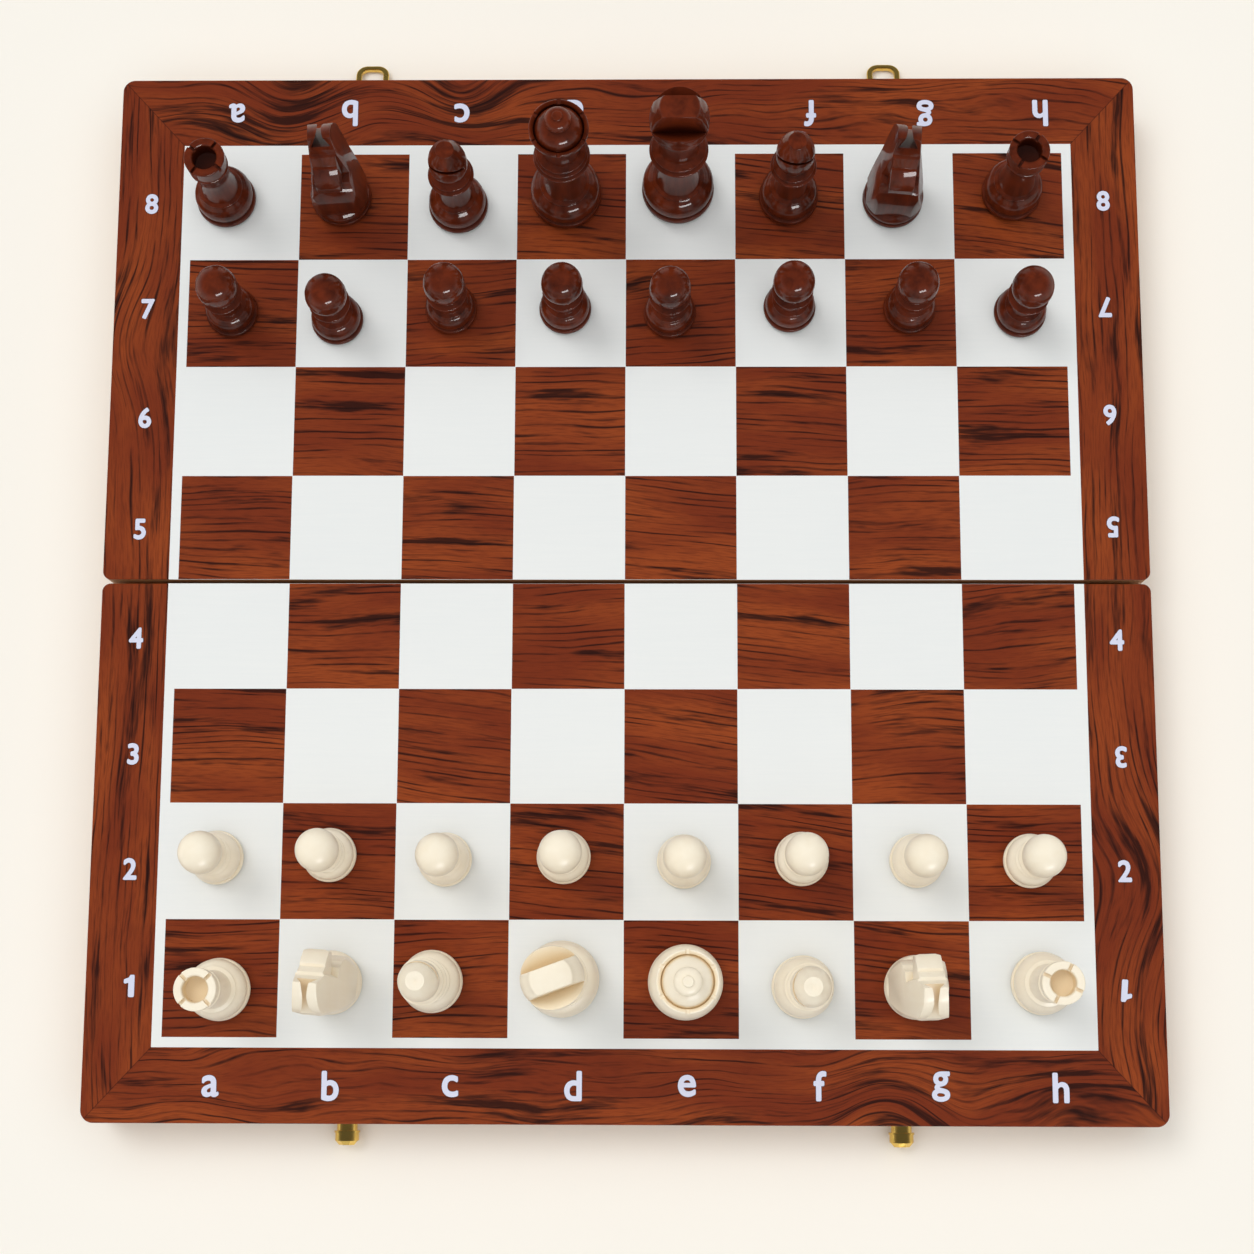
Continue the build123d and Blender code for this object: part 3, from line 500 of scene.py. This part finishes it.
def combined(body, tool, operation):
    """Cuts one closed shape with another, or keeps what they share."""
    pair = []
    for name, shape in (("body", body), ("tool", tool)):
        mesh = bpy.data.meshes.new(name)
        shape.to_mesh(mesh)
        shape.free()
        pair.append(bpy.data.objects.new(name, mesh))
        bpy.context.scene.collection.objects.link(pair[-1])
    cut = pair[0].modifiers.new("cut", "BOOLEAN")
    cut.object = pair[1]
    cut.operation = operation
    cut.solver = "EXACT"
    bpy.context.view_layer.update()
    made = bpy.data.meshes.new_from_object(pair[0].evaluated_get(bpy.context.evaluated_depsgraph_get()))
    result = bmesh.new()
    result.from_mesh(made)
    for item in pair:
        mesh = item.data
        bpy.data.objects.remove(item)
        bpy.data.meshes.remove(mesh)
    bpy.data.meshes.remove(made)
    if not result.faces:
        raise RuntimeError("a cut left nothing")
    return result


def softened(shape, radius, from_angle):
    """Rounds the sharp edges and shades the rest smooth."""
    bmesh.ops.remove_doubles(shape, verts=shape.verts, dist=2e-6)
    bmesh.ops.dissolve_degenerate(shape, edges=shape.edges, dist=2e-6)
    sharp = [edge for edge in shape.edges
             if len(edge.link_faces) == 2 and edge.calc_face_angle(0) > radians(from_angle)]
    bmesh.ops.bevel(shape, geom=sharp, offset=radius * MM, segments=2, profile=0.5, affect="EDGES",
                    offset_type="OFFSET", clamp_overlap=True, material=-1)
    for face in shape.faces:
        face.smooth = True
    for edge in shape.edges:
        edge.smooth = len(edge.link_faces) != 2 or edge.calc_face_angle(0) < radians(SMOOTH_BELOW)
    return shape


def joined(shapes):
    """One shape that holds all of them."""
    whole = bmesh.new()
    for shape in shapes:
        mesh = bpy.data.meshes.new("part")
        shape.to_mesh(mesh)
        shape.free()
        whole.from_mesh(mesh)
        bpy.data.meshes.remove(mesh)
    return whole


def new_piece(name, shape, materials, place=None):
    """Object at the origin with its place in its mesh."""
    mesh = bpy.data.meshes.new(name)
    shape.to_mesh(mesh)
    if place is not None:
        mesh.transform(place)
    for material in materials:
        mesh.materials.append(material)
    piece = bpy.data.objects.new(name, mesh)
    bpy.context.scene.collection.objects.link(piece)
    return piece


# Men: each outline point is radius, height and the bulge of the arc to it, in millimetres


def foot(radius, rise):
    """Bead round a man's foot and the groove above it."""
    return [(radius - 0.4, PAD, 0), (radius - 0.4, PAD + rise, 0.4), (radius - 1.2, PAD + rise + 0.2, 0)]


def collar(radius, height, thick, under, over):
    """Turned collar between two necks, its rim rounded."""
    return [
        (radius, height + under, 0),
        (radius, height + under + thick, thick / 3),
        (radius - over, height + under + thick + over / 2, 0),
    ]


OUTLINES = {
    "pawn": foot(9.6, 2.2)
    + [(6.6, 11.0, 1.4), (6.6, 11.7, 0.2), (5.3, 12.3, 0), (5.2, 20.8, -0.4)]
    + collar(7.1, 21.0, 1.0, 0.6, 1.6)
    + [(5.0, 25.6, -0.2), (7.3, 32.3, 1.0), (0, 39.6, 7.3 * (1 - cos(radians(45))))],
    "rook": foot(11.0, 2.4)
    + [(7.9, 13.4, 1.6), (7.9, 14.2, 0.2), (6.7, 14.8, 0), (5.8, 33.4, -0.6), (6.9, 35.4, 0)]
    + [(6.9, 36.2, 0.2), (6.7, 36.5, 0), (7.2, 43.3, 0.2), (6.7, 44.0, 0.2), (4.8, 44.0, 0)]
    + [(4.4, 43.5, 0), (4.4, 37.0, 0), (0, 36.4, 0)],
    "bishop": foot(11.0, 2.4)
    + [(7.3, 12.8, 1.7), (7.3, 13.6, 0.2), (6.0, 14.2, 0), (5.4, 31.2, -0.5)]
    + collar(7.9, 31.4, 1.1, 0.9, 1.3)
    + collar(7.1, 34.2, 0.9, 0.6, 1.8)
    + [(5.1, 38.6, -0.1), (6.8, 44.6, 0.7), (3.3, 56.2, 1.1), (2.9, 56.6, 0.15), (0, 55.9, 0.25)],
    "queen": foot(13.2, 3.0)
    + [(9.0, 14.0, 2.1), (9.0, 14.9, 0.2), (7.8, 15.5, 0), (6.9, 38.6, -0.7)]
    + collar(9.7, 38.8, 1.2, 1.0, 1.1)
    + collar(9.2, 42.0, 1.0, 0.7, 1.1)
    + collar(8.6, 44.8, 0.9, 0.6, 1.8)
    + [(6.8, 50.6, -0.2), (10.2, 64.4, -1.0), (10.4, 65.8, 0.1), (9.8, 66.5, 0.2), (8.9, 65.8, 0)]
    + [(8.6, 64.0, 0), (3.2, 70.4, 1.2), (2.9, 70.9, 0), (4.7, 73.2, 0.4), (1.9, 76.0, 0.7), (1.8, 76.8, 0)]
    + [(1.4, 77.1, 0.1), (0, 76.5, 0)],
    "king": foot(13.4, 3.0)
    + [(9.3, 14.2, 2.1), (9.3, 15.1, 0.2), (8.1, 15.7, 0), (7.1, 39.0, -0.7)]
    + collar(10.1, 39.2, 1.3, 1.1, 1.2)
    + collar(9.4, 42.8, 1.1, 0.7, 2.0)
    + [(7.2, 48.4, -0.2), (10.1, 64.8, -0.7), (10.2, 66.6, 0.2), (7.2, 78.6, 1.3), (6.4, 79.8, 0.2)]
    + [(0, 80.2, 0)],
    "knight": foot(11.2, 2.4) + [(10.3, 7.6, 0.9), (9.6, 8.4, 0), (9.2, 9.0, 0), (0, 9.0, 0)],
}
TURNS = {
    "dark_rook_a8": 8, "dark_knight_b8": 4, "dark_bishop_c8": -6, "dark_bishop_f8": -4, "dark_knight_g8": -5,
    "dark_rook_h8": 12, "light_knight_b1": 176, "light_bishop_c1": 168, "light_king_d1": 20,
    "light_bishop_f1": -86, "light_knight_g1": 182, "light_rook_h1": 20,
}


def turned(kind, sides):
    """A man as it leaves the lathe."""
    return spun(trace(OUTLINES[kind], (0, PAD)), sides)


def block(middle, size, turn=0.0, about="Z"):
    """Box cutter in millimetres."""
    shape = bmesh.new()
    place = Matrix.Translation(Vector(middle) * MM) @ Matrix.Rotation(turn, 4, about)
    stretch = Matrix.Diagonal((*(side * MM for side in size), 1.0))
    bmesh.ops.create_cube(shape, size=1.0, matrix=place @ stretch)
    return shape


def rook_shape(sides):
    """Tower with four notches sawn through its rim."""
    shape = turned("rook", sides)
    out, top = 6.0, 44.0
    for quarter in range(4):
        angle = radians(45 + 90 * quarter)
        notch = block((out * cos(angle), out * sin(angle), top), size=(5.0, 1.2, 3.4), turn=angle)
        shape = combined(shape, notch, "DIFFERENCE")
    return shape


def bishop_shape(sides):
    """Mitre with a slanting saw cut in its front."""
    cut = block(middle=(0, -5.5, 49.6), size=(28.0, 9.0, 1.3), turn=radians(-38), about="X")
    return combined(turned("bishop", sides), cut, "DIFFERENCE")


def queen_shape(sides):
    """Coronet with six small nicks round its rim."""
    shape = turned("queen", sides)
    out, rim = 9.6, 66.5
    for sixth in range(6):
        angle = radians(30 + 60 * sixth)
        nick = block((out * cos(angle), out * sin(angle), rim), size=(3.0, 1.5, 2.0), turn=angle)
        shape = combined(shape, nick, "DIFFERENCE")
    return shape


def king_shape(sides):
    """Head cut down on two sides to leave an upright bar across its top."""
    shape = turned("king", sides)
    # Each cutter reaches out past the head
    past = 14
    for sign in (-1, 1):
        wedge = [(3.7, 85), (4.4, 67.6), (past, 77), (past, 85)]
        cutter = sawn([(-past, sign * y, z) for y, z in wedge], (2 * past, 0, 0))
        shape = combined(shape, cutter, "DIFFERENCE")
    return shape


def knight_shape(sides):
    """Horse's head sawn from a turned blank: flat sides, stepped face and a groove between the ears."""
    side_view = [
        (7.6, 27.0, 1.0), (5.4, 31.0, -0.4), (6.4, 33.4, 0), (10.4, 34.8, 0), (11.0, 39.4, 0),
        (10.0, 41.8, 0), (6.2, 46.4, 0), (5.2, 46.2, 0), (3.4, 50.2, 0), (2.2, 50.4, 0), (-0.2, 59.6, 0),
        (-5.2, 57.0, 0.4), (-10.2, 44.0, 1.4), (-10.9, 30.0, 0.4), (-9.2, 8.9, -0.4),
    ]
    # The view is drawn ahead of the axis, and ahead is towards -Y
    points = trace([(-ahead, up, -bulge) for ahead, up, bulge in side_view], (-9.2, 8.9))
    radius, foot, top = 11.3, 8.0, 70.0
    shape = sawn([(-radius, y, z) for y, z in points], (2 * radius, 0, 0))
    front = [(10.3, 8.8), (7.0, 28.0), (4.1, 57.0), (3.8, 61.0)]
    front = front + [(-x, z) for x, z in reversed(front)]
    shape = combined(shape, sawn([(x, -16, z) for x, z in front], (0, 32, 0)), "INTERSECT")
    blank = spun([(0, foot), (radius, foot), (radius, top), (0, top)], sides)
    shape = combined(shape, blank, "INTERSECT")
    # The face is narrower than the neck behind it
    for sign in (-1, 1):
        cheek = [(sign * x, y, 31) for x, y in ((4.3, -20), (4.3, -3), (12, 1), (12, -20))]
        shape = combined(shape, sawn(cheek, (0, 0, 40)), "DIFFERENCE")
    # The groove runs from between the ears down the mane
    run = Vector((0, 0.55, -0.5)).normalized()
    up = Vector((1, 0, 0)).cross(run) * -1
    start = Vector((0, -3.2, 60.5))
    groove = [start + Vector((x, 0, 0)) + up * rise for x, rise in ((0, -4.6), (3.4, 3.0), (-3.4, 3.0))]
    shape = combined(shape, sawn(groove, run * 26), "DIFFERENCE")
    return joined([softened(shape, 0.3, 24), turned("knight", sides)])


SHAPES = {
    "rook": rook_shape, "bishop": bishop_shape, "queen": queen_shape, "king": king_shape,
    "knight": knight_shape, "pawn": lambda sides: turned("pawn", sides),
}


def standing_place(name):
    """Where a man's foot stands, from the lowest ring of its CAD node."""
    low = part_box(name)[0].z
    ring = [vert.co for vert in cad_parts[name].data.vertices if vert.co.z < low + 0.05 * MM]
    x = (min(co.x for co in ring) + max(co.x for co in ring)) / 2
    y = (min(co.y for co in ring) + max(co.y for co in ring)) / 2
    return Matrix.Translation((x, y, low)) @ Matrix.Rotation(radians(TURNS.get(name, 0)), 4, "Z")


def make_men(settings, kind):
    """All men of a kind, dark and light, each on its own body and in place of its CAD node."""
    shape = SHAPES[kind](settings.sides)
    if kind != "knight":
        shape = softened(shape, 0.14, 30)
    radius = OUTLINES[kind][0][0] - 0.6
    pad = spun([(0, 0), (radius, 0), (radius, PAD), (0, PAD)], settings.sides)
    wood = len(shape.faces)
    shape = joined([shape, pad])
    shape.faces.ensure_lookup_table()
    for face in shape.faces[wood:]:
        face.material_index = 1
    for name in sorted(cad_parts):
        if f"_{kind}_" not in name:
            continue
        colour = name.split("_")[0]
        materials = [bpy.data.materials[f"{colour}_men"], bpy.data.materials["pad_felt"]]
        piece = new_piece(f"turned_{name}", shape, materials, standing_place(name))
        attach(piece, name)
        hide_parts(name)
    shape.free()


# Lettering: glyph, middle in millimetres, and turn in degrees


NEAR_LETTERS = [
    ("a", -144.6, -179.7, 0), ("b", -102.5, -179.5, 0), ("c", -60.5, -179.4, 0), ("d", -17.5, -179.2, 0),
    ("e", 22.3, -179.0, 0), ("f", 68.7, -178.9, 0), ("g", 110.8, -178.9, 0), ("h", 152.5, -179.2, 0),
    ("4", -176.9, -20.9, 0), ("3", -176.3, -63.0, 0), ("2", -175.8, -104.1, 0), ("1", -174.5, -145.2, 0),
    ("4", 177.1, -21.3, 0), ("3", 177.2, -63.5, 180), ("2", 177.2, -104.0, 0), ("1", 176.5, -145.8, 175),
]
FAR_LETTERS = [
    ("a", -146.7, 179.4, 180), ("b", -104.1, 179.3, 180), ("c", -61.9, 179.2, 180), ("d", -19.3, 179.1, 180),
    ("e", 23.9, 179.0, 180), ("f", 68.9, 178.8, 180), ("g", 112.0, 178.7, 180), ("h", 155.0, 178.6, 180),
    ("8", -177.5, 143.6, 0), ("7", -177.4, 102.8, 0), ("6", -176.9, 61.2, 0), ("5", -177.1, 19.4, 0),
    ("8", 177.4, 144.1, 0), ("7", 176.8, 103.1, 180), ("6", 177.3, 62.1, 180), ("5", 177.1, 20.3, 180),
]


def glyph_mesh(glyph):
    """Flat mesh of one glyph. The 1 is drawn here, with its flag, because the plain font's is a bare bar."""
    if glyph == "1":
        shape = bmesh.new()
        corners = [(0.30, 0), (0.52, 0), (0.52, 1), (0.37, 1), (0.30, 0.88), (0.06, 0.79), (0.06, 0.66),
                   (0.30, 0.71)]
        shape.faces.new([shape.verts.new((x, y, 0)) for x, y in corners])
        flat = bpy.data.meshes.new("glyph")
        shape.to_mesh(flat)
        shape.free()
        return flat
    text = bpy.data.curves.new("glyph", "FONT")
    text.body = glyph
    text.resolution_u = 6
    holder = bpy.data.objects.new("glyph", text)
    bpy.context.scene.collection.objects.link(holder)
    bpy.context.view_layer.update()
    flat = bpy.data.meshes.new_from_object(holder.evaluated_get(bpy.context.evaluated_depsgraph_get()))
    bpy.data.objects.remove(holder)
    bpy.data.curves.remove(text)
    return flat


def print_letters(settings, glyphs, name, body):
    """One half's letters and numbers as flat print on the border, with a hairline of dark edge under them.
    Each glyph is laid down nine times, a little apart, which makes it bold as a spread of ink does."""
    ink_spread = 0.34
    for layer, spread, lift in (("edge", 0.52, 0.01), ("ink", ink_spread, 0.03)):
        shape = bmesh.new()
        for glyph, x, y, turn in glyphs:
            flat = glyph_mesh(glyph)
            low = Vector([min(vert.co[axis] for vert in flat.vertices) for axis in range(3)])
            high = Vector([max(vert.co[axis] for vert in flat.vertices) for axis in range(3)])
            tall = settings.number if glyph.isdigit() else settings.low if glyph in "ace" else settings.tall
            size = (tall - 2 * ink_spread * MM) / (high.y - low.y)
            flat.transform(Matrix.Translation((low + high) / -2))
            flat.transform(Matrix.Diagonal((size * 0.95, size, 1.0, 1.0)))
            place = Matrix.Translation((x * MM, y * MM, TOP + lift * MM))
            flat.transform(place @ Matrix.Rotation(radians(turn), 4, "Z"))
            # Each copy lies a hair over the last, so no two share a plane
            for copy in range(9):
                way = Vector((cos(copy * pi / 4), sin(copy * pi / 4), 0)) * (spread * MM if copy else 0.0)
                shifted = flat.copy()
                shifted.transform(Matrix.Translation(way + Vector((0, 0, copy * 0.001 * MM))))
                shape.from_mesh(shifted)
                bpy.data.meshes.remove(shifted)
            bpy.data.meshes.remove(flat)
        piece = new_piece(f"{name}_{layer}", shape, [bpy.data.materials[f"print_{layer}"]])
        shape.free()
        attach(piece, body)


# Operators


class CHESS_OT_veneers(bpy.types.Operator):
    """Rosewood border and squares, pale field"""

    bl_idname = "chess_set.veneers"
    bl_label = "Veneers"

    def execute(self, context):
        board = context.scene.chess_board
        dress(["far_border_veneer", "near_border_veneer"], rosewood("rosewood_border", board, True))
        dress(["far_dark_squares", "near_dark_squares"], rosewood("rosewood_squares", board, False))
        dress(["far_light_field", "near_light_field"], pale_veneer(board))
        return {"FINISHED"}


class CHESS_OT_case(bpy.types.Operator):
    """Walls, panels, steel sheets and felt linings of the case"""

    bl_idname = "chess_set.case"
    bl_label = "Case"

    def execute(self, context):
        board = context.scene.chess_board
        ends = wall_wood("beech_walls_across", board.wall, 0)
        dress([f"{half}_{wall}" for half in ("far", "near") for wall in ("end_wall", "hinge_wall")], ends)
        dress(["far_side_walls", "near_side_walls"], wall_wood("beech_walls_along", board.wall, 1))
        dress(["far_top_panel", "near_top_panel"], plywood(board))
        dress(["far_steel_sheet", "near_steel_sheet"], rolled_steel("rolled_steel", 0.45))
        dress(["far_felt_lining", "near_felt_lining"], felt("green_felt", from_hex("#1F5A36")))
        return {"FINISHED"}


class CHESS_OT_hardware(bpy.types.Operator):
    """Hinges, screws, clasp loops, brackets and knobs"""

    bl_idname = "chess_set.hardware"
    bl_label = "Hardware"

    def execute(self, context):
        brass = polished_brass(context.scene.chess_board)
        dress(["hinge_leaves_far", "hinge_leaves_near", "far_screws", "near_screws", "loop_brackets",
               "left_loop", "right_loop", "knobs"], brass)
        dress(["hinge_pins"], rolled_steel("steel_pin", 0.5))
        return {"FINISHED"}


class CHESS_OT_lettering(bpy.types.Operator):
    """Letters a to h and numbers 1 to 8 printed on the border"""

    bl_idname = "chess_set.lettering"
    bl_label = "Lettering"

    def execute(self, context):
        letters = context.scene.chess_letters
        print_ink("print_ink", letters.ink)
        print_ink("print_edge", from_hex("#4B2A20"))
        print_letters(letters, FAR_LETTERS, "far_print", "far_half")
        print_letters(letters, NEAR_LETTERS, "near_print", "near_half")
        return {"FINISHED"}


class CHESS_OT_men(bpy.types.Operator):
    """All the men of one kind"""

    bl_idname = "chess_set.men"
    bl_label = "Men"

    kind: bpy.props.EnumProperty(
        name="Kind", description="Which men to turn", default="pawn",
        items=[(kind, kind.capitalize(), f"Turn every {kind}") for kind in OUTLINES])

    def execute(self, context):
        men = context.scene.chess_men
        if "dark_men" not in bpy.data.materials:
            # Each deep colour darkens the grain and is also the painted shade in the men's grooves and
            # hollows
            lacquered_wood("dark_men", men.mahogany, men.mahogany_deep, 0.7, 0.05, 0.42, 0.05)
            cream_deep = [c * s for c, s in zip(men.cream, (0.82, 0.70, 0.52))]
            lacquered_wood("light_men", men.cream, cream_deep, 0.15, 0.4, 0.2, 0.2)
            felt("pad_felt", from_hex("#2C4A36"))
        make_men(men, self.kind)
        return {"FINISHED"}


class CHESS_OT_stage(bpy.types.Operator):
    """Floor, soft light and the camera over the board"""

    bl_idname = "chess_set.stage"
    bl_label = "Stage"

    def execute(self, context):
        stage = context.scene.chess_stage
        scene = context.scene
        scene.view_settings.view_transform = "Standard"
        shape = bmesh.new()
        bmesh.ops.create_grid(shape, x_segments=1, y_segments=1, size=4.0)
        material, tree, surface, place = new_material(
            "studio_paper", stage.floor, Roughness=0.9, Specular_IOR_Level=0.1)
        tooth = add_node(tree, "ShaderNodeTexNoise", {"Vector": place, "Scale": 900.0, "Detail": 2.0})
        bump = add_node(tree, "ShaderNodeBump", {"Strength": 0.02, "Distance": 0.0002, "Height": tooth})
        tree.links.new(bump.outputs[0], surface.inputs["Normal"])
        new_piece("studio_floor", shape, [material])
        shape.free()

        world = bpy.data.worlds.new("studio")
        world.use_nodes = True
        tree = world.node_tree
        # The ceiling is dark and the walls are bright, so polish shows deep colour with a light rim
        way = add_node(tree, "ShaderNodeTexCoord").outputs["Generated"]
        way = add_node(tree, "ShaderNodeSeparateXYZ", {0: way})
        level = add_node(tree, "ShaderNodeMapRange", {0: way.outputs[2], 1: 0.0, 2: 1.0, 3: 1.0, 4: 0.0})
        level = add_node(tree, "ShaderNodeMath", {0: level, 1: 4.0}, operation="POWER")
        level = add_node(tree, "ShaderNodeMapRange", {0: level, 3: stage.ceiling, 4: stage.horizon})
        sky = tree.nodes["Background"]
        sky.inputs["Color"].default_value = (1.0, 1.0, 1.0, 1.0)
        tree.links.new(level.outputs[0], sky.inputs["Strength"])
        scene.world = world

        lamp = bpy.data.lights.new("key", "SUN")
        fall = Vector((0.42, -0.36, -1.0)).normalized()
        lamp.energy = stage.sun * pi / -fall.z
        lamp.angle = radians(24)
        key = bpy.data.objects.new("key", lamp)
        key.rotation_euler = fall.to_track_quat("-Z", "Y").to_euler()
        key.visible_glossy = False
        scene.collection.objects.link(key)

        # A window ahead of the table that shows as a streak in the polish and lights nothing else
        lamp = bpy.data.lights.new("window", "AREA")
        lamp.shape = "RECTANGLE"
        lamp.size, lamp.size_y = 1.7, 0.45
        lamp.energy = 56.0
        window = bpy.data.objects.new("window", lamp)
        window.location = (0.9, -2.5, 0.9)
        window.rotation_euler = (Vector((0, 0, 0)) - window.location).to_track_quat("-Z", "Y").to_euler()
        window.visible_diffuse = False
        scene.collection.objects.link(window)

        lamp = bpy.data.lights.new("overhead", "SUN")
        lamp.energy = stage.overhead * pi
        lamp.angle = radians(100)
        overhead = bpy.data.objects.new("overhead", lamp)
        overhead.visible_glossy = False
        scene.collection.objects.link(overhead)

        lens = bpy.data.cameras.new("camera")
        lens.sensor_width = 36.0
        lens.lens = lens.sensor_width * FOCAL_PIXELS / PHOTO_PIXELS
        lens.clip_start = 0.05
        camera = bpy.data.objects.new("camera", lens)
        tilt = Matrix.Identity(4)
        for angle, axis in zip(CAMERA_TURN, "XYZ"):
            tilt = tilt @ Matrix.Rotation(radians(angle), 4, axis)
        camera.matrix_world = Matrix.Translation(CAMERA_AT) @ tilt
        scene.collection.objects.link(camera)
        scene.camera = camera
        return {"FINISHED"}


class CHESS_PT_panel(bpy.types.Panel):
    """Lists every step of the set"""

    bl_idname = "CHESS_PT_panel"
    bl_label = "Folding Chess Set"
    bl_space_type = "VIEW_3D"
    bl_region_type = "UI"
    bl_category = "Chess Set"

    def draw(self, context):
        for step in STEPS:
            self.layout.operator(step.bl_idname)
        for name, group in GROUPS:
            box = self.layout.box()
            for value in group.__annotations__:
                box.prop(getattr(context.scene, name), value)


GROUPS = [
    ("chess_board", BoardSettings), ("chess_letters", LetterSettings), ("chess_men", MenSettings),
    ("chess_stage", StageSettings),
]
STEPS = [CHESS_OT_veneers, CHESS_OT_case, CHESS_OT_hardware, CHESS_OT_lettering, CHESS_OT_men, CHESS_OT_stage]


def register():
    for name, group in GROUPS:
        bpy.utils.register_class(group)
        setattr(bpy.types.Scene, name, bpy.props.PointerProperty(type=group))
    for step in STEPS + [CHESS_PT_panel]:
        bpy.utils.register_class(step)


def unregister():
    for step in reversed(STEPS + [CHESS_PT_panel]):
        bpy.utils.unregister_class(step)
    for name, group in reversed(GROUPS):
        delattr(bpy.types.Scene, name)
        bpy.utils.unregister_class(group)


def main():
    register()
    bpy.ops.chess_set.veneers()
    bpy.ops.chess_set.case()
    bpy.ops.chess_set.hardware()
    bpy.ops.chess_set.lettering()
    for kind in OUTLINES:
        bpy.ops.chess_set.men(kind=kind)
    bpy.ops.chess_set.stage()


if __name__ == "__main__":
    main()
